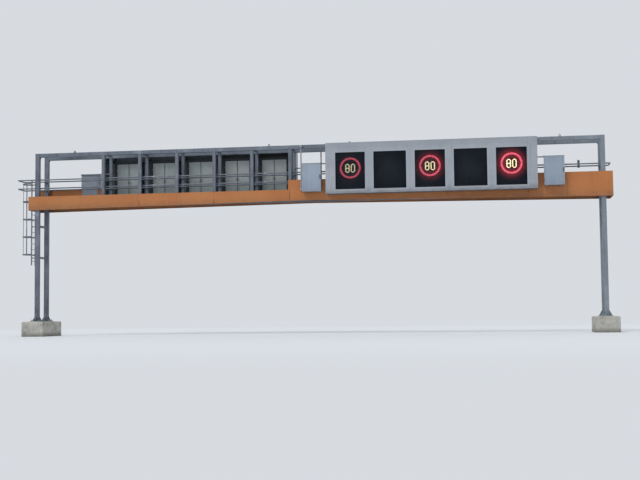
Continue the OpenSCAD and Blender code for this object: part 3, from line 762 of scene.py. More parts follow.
@dataclass(frozen=True)
class CastConcrete(Finish):
    """Concrete cast against boards, with pores, a rain-washed top and a splashed foot."""

    name: str = "cast_concrete"
    colour: Rgb = (0.68, 0.67, 0.64)
    dark: Rgb = (0.50, 0.49, 0.465)
    pale: Rgb = (0.78, 0.775, 0.75)
    splash: Rgb = (0.36, 0.345, 0.32)
    board: float = 0.14
    seam_edge: float = 0.05
    seam_share: float = 0.45
    seam_relief: Pair = (0.002, 0.7)
    splash_z: float = 0.26
    splash_share: float = 0.85
    splash_step: Pair = (0.30, 0.60)
    splash_to: Pair = (0.4, 1.0)
    cement: Cloud = Cloud((1.7, 1.7, 2.6), 6.0, 0.65, step=(0.3, 0.7))
    cement_levels: Triple = (0.30, 0.52, 0.72)
    pale_share: float = 0.8
    roughness: Pair = (0.80, 0.95)
    grit: float = 150.0
    grit_spread: float = 0.14
    pores: float = 38.0
    pore_step: Pair = (0.08, 0.17)
    pore_share: float = 0.7
    pore_relief: Pair = (0.004, 0.8)
    porous: Cloud = Cloud((3.0, 3.0, 3.0), 2.0, step=(0.48, 0.58))
    runs: Cloud = Cloud((13.0, 13.0, 0.9), step=(0.55, 0.74), to=(0.0, 0.4))
    sand: Cloud = Cloud((120.0, 120.0, 120.0), 4.0, 0.7, depth=0.0012, share=0.6)

    def build(self) -> bpy.types.Material:
        """Cement clouds and aggregate specks over board lines, pores and runs.

        Returns:
            The material.
        """
        coat = Coat(self.name)
        cloud = coat.noise(self.cement)
        body = coat.toned(cloud, (self.dark, self.colour, self.pale), self.cement_levels, self.pale_share)
        body = coat.tinted(body, coat.grain(self.grit, 1), self.grit_spread)
        layer = coat.calc("FRACT", coat.calc("DIVIDE", coat.axis("Z"), self.board))
        foot, head = (0.0, self.seam_edge), (1.0 - self.seam_edge, 1.0)
        seam = coat.calc("ADD", coat.ramp(layer, foot, (1.0, 0.0)), coat.ramp(layer, head), True)
        body = coat.mix(coat.times(seam, self.seam_share), body, self.dark)
        cells = coat.node("TexVoronoi", Vector=coat.place, Scale=self.pores)
        hollow = coat.ramp(cells.outputs["Distance"], self.pore_step, (1.0, 0.0))
        pore = coat.times(hollow, coat.patch(self.porous))
        body = coat.mix(coat.times(pore, self.pore_share), body, self.splash)
        body = coat.stain(body, self.runs, self.dark)
        low = coat.ramp(coat.axis("Z"), (self.splash_z, 0.0), (0.0, self.splash_share))
        wet = coat.times(low, coat.ramp(cloud, self.splash_step, self.splash_to))
        body = coat.mix(wet, body, self.splash)
        normal = coat.relief(self.sand)
        for hole, relief in ((pore, self.pore_relief), (seam, self.seam_relief)):
            normal = coat.bump(coat.calc("SUBTRACT", 1.0, hole), *relief, normal)
        rough = coat.ramp(cloud, self.cement.step, self.roughness)
        return coat.done(Base_Color=body, Roughness=rough, Normal=normal)


@dataclass(frozen=True)
class MattBlack(Finish):
    """Matt black housing or rubber, greyed by dust."""

    colour: Rgb = (0.030, 0.084, 0.145)
    dust: Rgb = (0.135, 0.188, 0.245)
    dust_share: float = 0.45
    roughness: Pair = (0.55, 0.8)
    rough_step: Pair = (0.3, 0.7)
    dusty: Cloud = Cloud((3.0, 3.0, 2.0), 6.0, 0.7, (0.42, 0.75))
    runs: Cloud = Cloud((26.0, 26.0, 1.2), 3.0, step=(0.55, 0.78))
    pimple: Cloud = Cloud((340.0, 340.0, 340.0), 3.0, depth=0.0003, share=0.5)

    def build(self) -> bpy.types.Material:
        """Dust lies in clouds and runs, over a fine grain.

        Returns:
            The material.
        """
        coat = Coat(self.name)
        body = coat.stain(self.colour, self.dusty, self.dust, self.dust_share)
        body = coat.stain(body, self.runs, self.dust, self.dust_share)
        rough = coat.ramp(coat.noise(self.dusty), self.rough_step, self.roughness)
        return coat.done(Base_Color=body, Roughness=rough, Normal=coat.relief(self.pimple))


@dataclass(frozen=True)
class Diode(Finish):
    """Resin lens of one light dot, which may be lit.

    Lit dots are as bright as the two levels say, at the two distances from mid-span in reach.
    """

    resin: Rgb
    light: Rgb = (0.0, 0.0, 0.0)
    strength: float = 0.0
    spread: float = 0.25
    pitch: float = 0.025
    middle: float = 0.0
    reach: Pair = (2.0, 9.5)
    level: Pair = (0.50, 1.0)
    roughness: float = 0.22
    gloss: float = 0.3

    def build(self) -> bpy.types.Material:
        """Glossy resin; dots differ a little, and the outer displays are the brighter ones.

        Returns:
            The material.
        """
        coat = Coat(self.name)
        lot = coat.lot((self.pitch, self.pitch * 4, self.pitch))
        dim = coat.ramp(lot, (0.0, 1.0), (1.0 - self.spread, 1.0))
        coat.done(Base_Color=coat.shade(self.resin, dim), Roughness=self.roughness, Coat_Weight=self.gloss)
        if not self.strength:
            return coat.material
        out = coat.ramp(coat.away(coat.axis("X"), self.middle), self.reach, self.level)
        glow = coat.shade(self.light, coat.times(dim, out))
        return coat.done(Emission_Color=glow, Emission_Strength=self.strength)


@dataclass(frozen=True)
class LouvreBlack(Finish):
    """Matrix panel behind the dots, on which the glow of a lit ring is painted as emission.

    The panel's own map gives the place on the face in ring radii from the ring's centre. The painted glow is
    as bright as the two levels say, at the two distances from mid-span in rise.
    """

    name: str = "matrix_panel"
    colour: Rgb = (0.025, 0.070, 0.122)
    tile: Rgb = (0.075, 0.130, 0.205)
    tile_share: float = 0.35
    # colour of the painted glow, emitted by the panel though it is no lamp
    glow: Rgb = (0.66, 0.17, 0.19)
    ring: float = 0.87
    reach: float = 1.0
    fall: float = 2.0
    module: float = 0.2
    module_d: float = 10.0
    strength: float = 0.9
    middle: float = 0.0
    rise: Pair = (2.0, 9.5)
    level: Pair = (0.04, 1.0)
    roughness: Pair = (0.5, 0.7)
    rough_step: Pair = (0.3, 0.7)
    dusty: Cloud = Cloud((2.2, 2.2, 1.4), 5.0, 0.65, (0.45, 0.75), (0.0, 0.5))
    pimple: Cloud = Cloud((300.0, 300.0, 300.0), 2.0, depth=0.0003, share=0.4)

    def build(self) -> bpy.types.Material:
        """Square modules of slightly different black, and a painted red glow that the panel emits and that
        fades from the ring.

        Returns:
            The material.
        """
        coat = Coat(self.name)
        lot = coat.lot((self.module, self.module_d, self.module))
        share = coat.calc("ADD", coat.times(lot, self.tile_share), coat.patch(self.dusty), True)
        # painted glow: the panel emits red light round the ring, standing in for the dots' light falling on
        # it
        spot = coat.node("UVMap", uv_map="ring").outputs[0]
        length = coat.node("VectorMath", spot, operation="LENGTH").outputs["Value"]
        near = coat.ramp(coat.away(length, self.ring), (0.0, self.reach), (1.0, 0.0))
        out = coat.ramp(coat.away(coat.axis("X"), self.middle), self.rise, self.level)
        painted_glow = coat.mix(coat.times(coat.calc("POWER", near, self.fall), out), (0.0, 0.0, 0.0), self.glow)
        rough = coat.ramp(coat.noise(self.dusty), self.rough_step, self.roughness)
        body = coat.mix(share, self.colour, self.tile)
        return coat.done(Base_Color=body, Roughness=rough, Normal=coat.relief(self.pimple),
                         Emission_Color=painted_glow, Emission_Strength=self.strength)


class Slot(Enum):
    """The record's material slots."""

    STEEL = "galvanised_steel"
    ORANGE = "orange_paint"
    GRATING = "grating_steel"
    CASING = "casing_paint"
    CABINET = "cabinet_paint"
    BLACK = "display_black"
    SENSOR = "sensor_plastic"
    CONCRETE = "concrete"


@dataclass(frozen=True)
class Piece:
    """A piece to be made: name, surface, finish, slot, round shading, and the nodes it stands for."""

    name: str
    shape: Surface
    finish: str
    slot: Slot | None = None
    smooth: bool = False
    replaces: Sequence[str] = ()


@dataclass(frozen=True)
class Workshop:
    """What every sub-assembly needs: the layout, the finishes by name, and lists of the work done."""

    layout: Layout
    finishes: dict[str, Finish]
    made: dict[str, bpy.types.Material] = field(default_factory=dict)
    dressed: set[str] = field(default_factory=set)
    round_edge: float = 35.0

    def material(self, finish: str) -> bpy.types.Material:
        """Gives the material of a finish and builds it on first use.

        Args:
            finish: the finish's name.

        Returns:
            The material.
        """
        if finish not in self.made:
            self.made[finish] = self.finishes[finish].build()
        return self.made[finish]

    def dress(self, nodes: Iterable[str], finish: str) -> None:
        """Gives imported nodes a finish.

        Args:
            nodes: the nodes' names.
            finish: the finish's name.
        """
        for name in nodes:
            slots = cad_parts[name].data.materials
            slots.clear()
            slots.append(self.material(finish))
            self.dressed.add(name)
            LOG.info("%s: %s", name, finish)

    def add(self, piece: Piece) -> bpy.types.Object:
        """Makes a piece of the object that rides on the frame.

        Args:
            piece: what is to be made.

        Returns:
            The object.
        """
        shape, mesh = piece.shape, bpy.data.meshes.new(piece.name)
        mesh.vertices.add(len(shape.points))
        mesh.vertices.foreach_set("co", shape.points.astype(np.float32).ravel())
        mesh.loops.add(len(shape.corners))
        mesh.loops.foreach_set("vertex_index", shape.corners.astype(np.int32))
        mesh.polygons.add(len(shape.sides))
        mesh.polygons.foreach_set("loop_start", (np.cumsum(shape.sides) - shape.sides).astype(np.int32))
        mesh.update(calc_edges=True)
        if piece.smooth:
            mesh.shade_smooth()
            mesh.set_sharp_from_angle(angle=math.radians(self.round_edge))
        mesh.materials.append(self.material(piece.finish))
        made = bpy.data.objects.new(piece.name, mesh)
        bpy.context.scene.collection.objects.link(made)
        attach(made, BODY)
        if piece.replaces:
            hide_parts(*piece.replaces)
            self.dressed.update(piece.replaces)
        LOG.info("%s: %d faces, %s", piece.name, len(shape.sides), piece.finish)
        return made


@dataclass(frozen=True)
class Assembly:
    """A sub-assembly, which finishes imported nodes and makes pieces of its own."""

    shop: Workshop

    def coats(self) -> dict[str, Sequence[str]]:
        """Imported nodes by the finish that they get."""
        return {}

    def pieces(self) -> list[Piece]:
        """Pieces, in the order of making."""
        return []

    def dress(self) -> None:
        """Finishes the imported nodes."""
        for finish, nodes in self.coats().items():
            self.shop.dress(nodes, finish)

    def make(self) -> list[bpy.types.Object]:
        """Makes the pieces."""
        return [self.shop.add(piece) for piece in self.pieces()]

    def build(self) -> None:
        """Finishes the nodes and makes the pieces."""
        self.dress()
        self.make()


@dataclass(frozen=True)
class FacedAssembly(Assembly):
    """A sub-assembly of one face, whose surfaces are worked out for the near one."""

    face: Face

    @property
    def tag(self) -> str:
        """Last part of each piece's name."""
        return self.face.value

    def make(self) -> list[bpy.types.Object]:
        """Makes the pieces on this face, with the tag in their names.

        Returns:
            The objects.
        """
        middle = self.shop.layout.middle
        placed = [replace(piece, name=f"{piece.name}_{self.tag}", shape=self.face.place(piece.shape, middle))
                  for piece in self.pieces()]
        return [self.shop.add(piece) for piece in placed]


HEX_FLATS = 1.5 / math.sqrt(3)
HEX_WASHER = np.array([[0.92, 0.0], [0.92, 0.12], [0.88, 0.15]])
HEX_HEAD = np.array([[HEX_FLATS, 0.15], [HEX_FLATS, 0.70], [0.86 * HEX_FLATS, 0.80]])
HEX_TAIL = np.array([[0.5, 0.80], [0.5, 0.70], [0.4, 0.80]])
DOME_RISE = np.array([0.0, 0.45, 0.8, 0.97])


def hex_bolt(size: float, tail: float = 0.0) -> Surface:
    """Hexagon head on a round washer, seated at zero and pointing up Z.

    The profiles give radii and heights in thread diameters, the head being 1.5 across its
    flats. A tail stands out past it where the head is a nut on a threaded rod.

    Args:
        size: thread diameter.
        tail: length of rod above the nut.

    Returns:
        The bolt.
    """
    parts = [lathe(size * HEX_WASHER, 16), lathe(size * HEX_HEAD, 6)]
    if tail:
        parts.append(lathe(size * HEX_TAIL + [[0, 0], [0, tail], [0, tail]], 12))
    return joined(parts)


def dome_rivet(size: float, count: int = 8, height: float = 0.45, round_off: float = 0.93) -> Surface:
    """Low round head, whose radius falls as the square root of the height left.

    Args:
        size: radius of the foot.
        count: points on a ring.
        height: height of the full dome, in radii.
        round_off: how near to a point the dome would close.

    Returns:
        The head, with a small flat crown.
    """
    radius = size * np.sqrt(1 - round_off * DOME_RISE**2)
    return lathe(np.stack([radius, height * size * DOME_RISE], -1), count)


@dataclass(frozen=True)
class PortalFrame(Assembly):
    """Columns, chords, posts, beams and ties, with their bolts and weld beads."""

    corner: float = 0.016
    weld_leg: float = 0.007
    flange_bolt: float = 0.014
    flange_edge: float = 0.025
    flange_pitch: float = 0.06
    anchor: float = 0.03
    anchor_inset: float = 0.055
    anchor_tail: float = 0.045
    base_t: float = 0.04
    grout_w: float = 0.035
    grout_h: float = 0.018
    grout_lip: float = 0.006
    grout_lap: float = 0.002

    def bead(self, half: float) -> Surface:
        """Bead round a bar of the frame."""
        return weld_ring(half, self.corner, self.weld_leg)

    def plate_top(self) -> float:
        """Height of the base plates' top."""
        return Box.of("plinth_left").high[2] + self.base_t

    def post_welds(self) -> Surface:
        """Beads round both ends of every post.

        Returns:
            The beads.
        """
        plan, posts = self.shop.layout, Box.of("frame_posts_near")
        bead = self.bead(plan.post_w / 2)
        return joined(bead.at(lattice(plan.posts, plan.planes, z), aim)
                      for aim, z in ((Aim.UP, posts.low[2]), (Aim.DOWN, posts.high[2])))

    def beam_welds(self) -> Surface:
        """Beads round both ends of the beams that cross between the chords.

        Returns:
            The beads.
        """
        reach = Box.of("top_cross_beams").high[1]
        beams = [Box.of(node) for node in ("top_cross_beams", "floor_cross_beams")]
        x, ys = self.shop.layout.posts, (-reach, reach)
        return joined(facing(self.bead(b.size[2] / 2), x, ys, b.middle[2], False) for b in beams)

    def foot_welds(self) -> Surface:
        """Beads where the column shafts meet their base plates and the ties meet the columns.

        Returns:
            The beads.
        """
        plan, tie = self.shop.layout, Box.of("column_ties_left")
        foot = self.bead(plan.planes[1] - tie.high[1]).at(lattice(plan.ends, plan.planes, self.plate_top()))
        half = tie.size[0] / 2
        levels = tie.low[2] + half, tie.high[2] - half
        return joined([foot, facing(self.bead(half), plan.ends, (tie.low[1], tie.high[1]), levels, False)])

    def flange_bolts(self) -> Surface:
        """Three bolts in each lip of the flange plates, below every chord and above the lower ones.

        Returns:
            The bolts.
        """
        top, low = Box.of("top_chord_near"), Box.of("bottom_chord_near")
        edge = self.flange_edge
        levels = top.low[2] - edge, low.low[2] - edge, low.high[2] + edge
        y = around(self.shop.layout.planes, -self.flange_pitch, 0.0, self.flange_pitch)
        head = hex_bolt(self.flange_bolt)
        return joined(head.at(lattice(x, y, levels), aim)
                      for aim, x in ((Aim.RIGHT, top.low[0]), (Aim.LEFT, top.high[0])))

    def anchors(self) -> Surface:
        """Nut and rod at each corner of the base plates.

        Returns:
            The nuts and rods.
        """
        plan, reach = self.shop.layout, Box.of("column_left_near").size[0] / 2 - self.anchor_inset
        x, y = (around(centres, -reach, reach) for centres in (plan.ends, plan.planes))
        return hex_bolt(self.anchor, self.anchor_tail).at(lattice(x, y, self.plate_top()))

    def grout(self) -> Surface:
        """Sloped mortar bed round each base plate, a frustum with four sides.

        Returns:
            The beds.
        """
        half = Box.of("column_left_near").size[0] / 2
        foot, head = half + self.grout_w, half + self.grout_lap
        profile = np.array([[foot, -self.grout_lap], [foot, self.grout_lip], [head, self.grout_h]])
        bed = lathe(profile * [math.sqrt(2), 1.0], 4, math.pi / 4)
        return bed.at(lattice(self.shop.layout.ends, self.shop.layout.planes, Box.of("plinth_left").high[2]))

    def coats(self) -> dict[str, Sequence[str]]:
        """All rolled steel is weathered zinc.

        Returns:
            The finish and its nodes.
        """
        kinds = ("top_chord", "bottom_chord", "frame_posts", "column_left", "column_right")
        names = [f"{kind}_{face.value}" for kind in kinds for face in Face]
        across = ["column_ties_left", "column_ties_right", "top_cross_beams", "floor_cross_beams"]
        return {"weathered_zinc": names + across + ["chord_flanges"]}

    def pieces(self) -> list[Piece]:
        """Welds, bolts and grout.

        Returns:
            The pieces, in order.
        """
        return [
            Piece("frame_post_welds", self.post_welds(), "weld_zinc", Slot.STEEL, smooth=True),
            Piece("frame_beam_welds", self.beam_welds(), "weld_zinc", Slot.STEEL, smooth=True),
            Piece("column_welds", self.foot_welds(), "weld_zinc", Slot.STEEL, smooth=True),
            Piece("flange_bolts", self.flange_bolts(), "bright_zinc", Slot.STEEL),
            Piece("anchor_bolts", self.anchors(), "bright_zinc", Slot.STEEL),
            Piece("base_plate_grout", self.grout(), "mortar", Slot.CONCRETE),
        ]


@dataclass(frozen=True)
class Plinths(Assembly):
    """The two concrete plinths and the plugs in their form-tie holes."""

    plug_r: float = 0.019
    plug_rise: float = 0.0015
    plug_lap: float = 0.002
    level: float = 0.2
    spread: float = 0.34

    def plugs(self) -> Surface:
        """Mortar plugs on three sides of both plinths, all but the one that looks outward.

        Returns:
            The plugs.
        """
        radius, rise = self.plug_r, self.plug_rise
        disc = lathe([[radius, -self.plug_lap], [radius, 0.4 * rise], [0.86 * radius, rise]], 20)
        parts = []
        for node, aim, inner in (("plinth_left", Aim.RIGHT, 1), ("plinth_right", Aim.LEFT, 0)):
            block = Box.of(node)
            z = block.low[2] + self.level, block.high[2] - self.level
            y = np.linspace(block.low[1], block.high[1], 5)[1:-1]
            parts.append(disc.at(lattice((block.low, block.high)[inner][0], y, z), aim))
            x = around(block.middle[0], -self.spread, self.spread)
            parts.append(facing(disc, x, (block.low[1], block.high[1]), z, True))
        return joined(parts)

    def coats(self) -> dict[str, Sequence[str]]:
        """Both plinths are cast concrete."""
        return {"cast_concrete": ("plinth_left", "plinth_right")}

    def pieces(self) -> list[Piece]:
        """The plugs alone."""
        return [Piece("form_tie_plugs", self.plugs(), "mortar", Slot.CONCRETE, smooth=True)]


@dataclass(frozen=True)
class Fascia(FacedAssembly):
    """Orange sheets of one face, with the cover strips over their joints and rows of screws."""

    camber: float = 0.14
    strip_w: float = 0.05
    strip_t: float = 0.002
    edge: float = 0.012
    screw: float = 0.007
    screw_pitch: float = 0.3
    screw_inset: float = 0.028
    strip_screws: int = 4

    def lower_edge(self, x: Array) -> Array:
        """Height of the lower edge, which rises in a straight line from each end to mid-span.

        Args:
            x: places along the span.

        Returns:
            The heights.
        """
        low, middle = Box.of("fascia_near_low").low, self.shop.layout.middle
        return low[2] + self.camber * (1 - np.abs(x - middle) / (middle - low[0]))

    def upper_edge(self, x: Array) -> Array:
        """Height of the highest visible point: the sheet's top, or the foot of what hangs in front.

        Args:
            x: places along the span.

        Returns:
            The heights.
        """
        low, tall = Box.of("fascia_near_low"), Box.of("fascia_near_tall")
        top = np.where(x < low.high[0], low.high[2], tall.high[2])
        for node in ("sign_casing_near", "cabinet_near_inner", "cabinet_near_outer"):
            box = Box.of(node)
            covered = (x > box.low[0] - self.strip_w) & (x < box.high[0] + self.strip_w)
            top = np.where(covered, np.minimum(top, box.low[2]), top)
        return top

    def joints(self) -> Array:
        """X of the sheet joints, at every second carrier."""
        return self.shop.layout.posts[1::2]

    def strips(self) -> Surface:
        """Flat strips over the joints, from the lower edge to what covers the sheet.

        Returns:
            The strips.
        """
        x, half, front = self.joints(), self.strip_w / 2, Box.of("fascia_near_low").low[1]
        heights = self.lower_edge(x) + self.edge, self.upper_edge(x) - self.edge
        return spans((x - half, x + half), (front - self.strip_t, front + LAP), heights)

    def screws(self) -> Surface:
        """Dome heads along both edges of the sheets and down both sides of each strip.

        Returns:
            The heads.
        """
        low, inset, joints = Box.of("fascia_near_low").low, self.screw_inset, self.joints()
        end = Box.of("fascia_near_tall").high[0]
        x = np.linspace(low[0] + inset, end - inset, int((end - low[0]) / self.screw_pitch))
        x = x[np.abs(x[:, None] - joints).min(1) >= self.strip_w]
        rows = [xyz(x, low[1], self.lower_edge(x) + inset), xyz(x, low[1], self.upper_edge(x) - inset)]
        z = np.linspace(self.lower_edge(joints) + inset, self.upper_edge(joints) - inset, self.strip_screws)
        rows += [xyz(joints + side * self.strip_w / 3, low[1] - self.strip_t, z) for side in (-1, 1)]
        return dome_rivet(self.screw).at(np.concatenate(rows), Aim.NEAR)

    def coats(self) -> dict[str, Sequence[str]]:
        """Both sheets of the face are orange."""
        return {"orange_sheet": [f"fascia_{self.face.value}_{part}" for part in ("low", "tall")]}

    def pieces(self) -> list[Piece]:
        """Strips and screws, in the colour of the sheets."""
        return [Piece("fascia_strips", self.strips(), "orange_sheet", Slot.ORANGE),
                Piece("fascia_screws", self.screws(), "orange_sheet", Slot.ORANGE, smooth=True)]


@dataclass(frozen=True)
class Walkway(Assembly):
    """Welded bar grating in panels that meet over the floor beams, and its clips."""

    gap: float = 0.008
    bar_t: float = 0.003
    bar_pitch: float = 0.034
    rod_pitch: float = 0.038
    rod_w: float = 0.005
    rim_t: float = 0.005
    clip_w: float = 0.05
    clip_t: float = 0.003
    clip_reach: float = 0.36
    clip_bolt: float = 0.008

    def joints(self) -> Array:
        """X of the panel joints: both ends and every carrier."""
        deck, half = Box.of("walkway_grating"), self.gap / 2
        return np.array([deck.low[0] - half, *self.shop.layout.carriers, deck.high[0] + half])

    def panel(self, x0: float, x1: float) -> Surface:
        """Bearing bars along X, cross rods along Y just below their top, and a rim of flat bar.

        Args:
            x0: left end of the panel.
            x1: right end of the panel.

        Returns:
            The panel.
        """
        deck, rim, half_bar, half_rod = Box.of("walkway_grating"), self.rim_t, self.bar_t / 2, self.rod_w / 2
        (y0, z0), (y1, z1) = deck.low[1:], deck.high[1:]
        bars = np.linspace(y0, y1, int((y1 - y0) / self.bar_pitch) + 1)[1:-1]
        rods = np.linspace(x0, x1, int((x1 - x0) / self.rod_pitch) + 1)[1:-1]
        return joined([
            spans((x0 + rim, x1 - rim), (bars - half_bar, bars + half_bar), (z0, z1)),
            spans((rods - half_rod, rods + half_rod), (y0 + rim, y1 - rim), (z1 - 2 * self.rod_w, z1 - LAP)),
            spans((x0, x1), edges(y0, y1, rim), (z0, z1)),
            spans(edges(x0, x1, rim), (y0, y1), (z0, z1)),
        ])

    def grating(self) -> Surface:
        """All panels."""
        joints, half = self.joints(), self.gap / 2
        return joined(self.panel(a + half, b - half) for a, b in zip(joints, joints[1:]))

    def clips(self) -> Surface:
        """Saddle plates with a bolt that hold neighbouring panels down at each joint.

        Returns:
            The clips.
        """
        deck, half = Box.of("walkway_grating"), self.clip_w / 2
        reach = self.clip_reach * deck.size[1]
        places = lattice(self.joints()[1:-1], around(deck.middle[1], -reach, reach), deck.high[2])
        plate = spans((-half, half), (-half, half), (0.0, self.clip_t))
        return joined([plate.at(places), hex_bolt(self.clip_bolt).at(places + [0, 0, self.clip_t])])

    def pieces(self) -> list[Piece]:
        """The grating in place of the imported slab, and its clips.

        Returns:
            The pieces.
        """
        return [
            Piece("bar_grating", self.grating(), "grating_zinc", Slot.GRATING, replaces=["walkway_grating"]),
            Piece("grating_clips", self.clips(), "bright_zinc", Slot.GRATING),
        ]


@dataclass(frozen=True)
class Handrails(Assembly):
    """Handrails and knee rails, with the clamps at the posts and the sleeves over the joints."""

    rail_r: float = 0.03
    clamp_w: float = 0.04
    clamp_t: float = 0.004
    sleeve_w: float = 0.14
    sleeve_t: float = 0.003
    bolt: float = 0.008
    knee_drop: float = 0.41

    def heights(self) -> Pair:
        """Centre heights of the handrail and the knee rail."""
        top = Box.of("handrail_near").high[2] - self.rail_r
        return top, top - self.knee_drop

    def side(self) -> float:
        """Distance of the rails' centres from the middle of the walkway."""
        return -Box.of("handrail_near").high[1] + self.rail_r

    def collar(self, width: float, thick: float) -> Surface:
        """Thin ring about the Z axis, with a fine bevel at both edges.

        Args:
            width: width of the ring.
            thick: its thickness over the rail.

        Returns:
            The ring.
        """
        outer, half = self.rail_r + thick, width / 2
        foot = np.array([[outer - LAP, -half], [outer, LAP - half]])
        return lathe(np.concatenate([foot, foot[::-1] * [1, -1]]), 20)

    def fittings(self) -> Surface:
        """Clamps at every carrier and a sleeve in every third bay.

        Returns:
            The fittings.
        """
        plan, sides = self.shop.layout, (-self.side(), self.side())
        clamps = lattice(plan.carriers, sides, self.heights())
        sleeves = lattice(plan.posts[1::3] + plan.bay / 3, sides, self.heights())
        return joined([self.collar(self.clamp_w, self.clamp_t).at(clamps, Aim.RIGHT),
                       self.collar(self.sleeve_w, self.sleeve_t).at(sleeves, Aim.RIGHT)])

    def bolts(self) -> Surface:
        """One screw through each clamp on the walkway side."""
        y = self.side() - self.rail_r - self.clamp_t
        return facing(hex_bolt(self.bolt), self.shop.layout.carriers, (-y, y), self.heights(), False)

    def coats(self) -> dict[str, Sequence[str]]:
        """All rails are of the same zinc."""
        return {"rail_zinc": ("handrail_near", "handrail_far", "end_rails")}

    def pieces(self) -> list[Piece]:
        """Clamps with sleeves, and the clamps' screws."""
        return [Piece("rail_clamps", self.fittings(), "bright_zinc", Slot.STEEL, smooth=True),
                Piece("rail_clamp_bolts", self.bolts(), "bright_zinc", Slot.STEEL)]


@dataclass(frozen=True)
class Ladder(Assembly):
    """Caged ladder with its bolts and the collars at the rung ends."""

    strap_count: int = 5
    hoop_count: int = 5
    hoop_h: float = 0.05
    bolt: float = 0.01
    arm_bolt: float = 0.014
    arm_bolt_x: Pair = (0.036, 0.09)
    rung_x: float = 0.03
    rung_count: int = 10
    rung_pitch: float = 0.28
    stile_t: float = 0.015
    collar: Profile = ((0.019, 0.0), (0.014, 0.006))

    def cage_bolts(self) -> Surface:
        """A head outside each crossing of hoop and strap, along the hoop's own radius.

        Returns:
            The heads.
        """
        hoops, up = Box.of("cage_hoops"), np.array([0, 0, 1.0])
        radius, half = hoops.size[1] / 2, self.hoop_h / 2
        z = np.tile(np.linspace(hoops.low[2] + half, hoops.high[2] - half, self.hoop_count), self.strap_count)
        angle = np.repeat(np.radians(np.linspace(90, 270, self.strap_count)), self.hoop_count)
        out = xyz(np.cos(angle), np.sin(angle), 0)
        places = [hoops.low[0] + radius, 0, 0] + radius * out + z[:, None] * up
        turns = np.stack([np.cross(up, out), np.broadcast_to(up, out.shape), out], -1)
        return dome_rivet(self.bolt, 10).at(places, turns)

    def arm_bolts(self) -> Surface:
        """Two bolts on the outside of each arm, near the side rail.

        Returns:
            The bolts.
        """
        ladder, ties = Box.of("access_ladder"), Box.of("column_ties_left")
        reach = (ties.size[2] - ties.size[0]) / 2
        x, z = ladder.low[0] + np.array(self.arm_bolt_x), around(ties.middle[2], -reach, reach)
        return facing(hex_bolt(self.arm_bolt), x, (ladder.low[1], ladder.high[1]), z, True)

    def rung_collars(self) -> Surface:
        """Weld collars inside both side rails at every rung.

        Returns:
            The collars.
        """
        ladder, floor = Box.of("access_ladder"), Box.of("walkway_grating").high[2]
        z = floor - self.rung_pitch * np.arange(1, self.rung_count + 1)
        inner = ladder.high[1] - self.stile_t
        return facing(lathe(self.collar, 16), ladder.low[0] + self.rung_x, (-inner, inner), z, False)

    def coats(self) -> dict[str, Sequence[str]]:
        """The ladder and its cage are weathered zinc."""
        return {"weathered_zinc": ("access_ladder", "cage_hoops", "cage_straps")}

    def pieces(self) -> list[Piece]:
        """Cage heads, arm bolts and rung collars.

        Returns:
            The pieces.
        """
        return [Piece("cage_bolts", self.cage_bolts(), "bright_zinc", Slot.STEEL, smooth=True),
                Piece("ladder_bolts", self.arm_bolts(), "bright_zinc", Slot.STEEL),
                Piece("rung_welds", self.rung_collars(), "weld_zinc", Slot.STEEL, smooth=True)]


@dataclass(frozen=True)
class Window:
    """One display window as on the near face: its centre, its clear size and its housing's front."""

    x: float
    width: float
    foot: float
    head: float
    rim_y: float

    @classmethod
    def of(cls, face: Face, number: int, middle: float, lap: float = 0.02, above: float = 0.15,
           sill: float = 0.18) -> "Window":
        """Works a window out from its display housing.

        Args:
            face: the face that the display is on.
            number: its number from mid-span outward.
            middle: X of mid-span.
            lap: how far the housing reaches past the window's sides.
            above: how far it reaches above the window.
            sill: height of the casing's front below the window.

        Returns:
            The window.
        """
        housing = face.local(f"display_{face.value}_{number}", middle)
        foot = face.local(f"sign_casing_{face.value}", middle).low[2] + sill
        width, head = housing.size[0] - 2 * lap, housing.high[2] - above
        return cls(housing.middle[0], width, foot, head, housing.low[1])

    def across(self, inset: float = 0.0) -> Pair:
        """X of both sides, moved in."""
        return self.x - (self.width / 2 - inset), self.x + (self.width / 2 - inset)

    def upward(self, inset: float = 0.0) -> Pair:
        """Heights of the foot and the head, moved in."""
        return self.foot + inset, self.head - inset


class Sign(Enum):
    """What a display shows."""

    SPEED = "speed"
    BLANK = "blank"


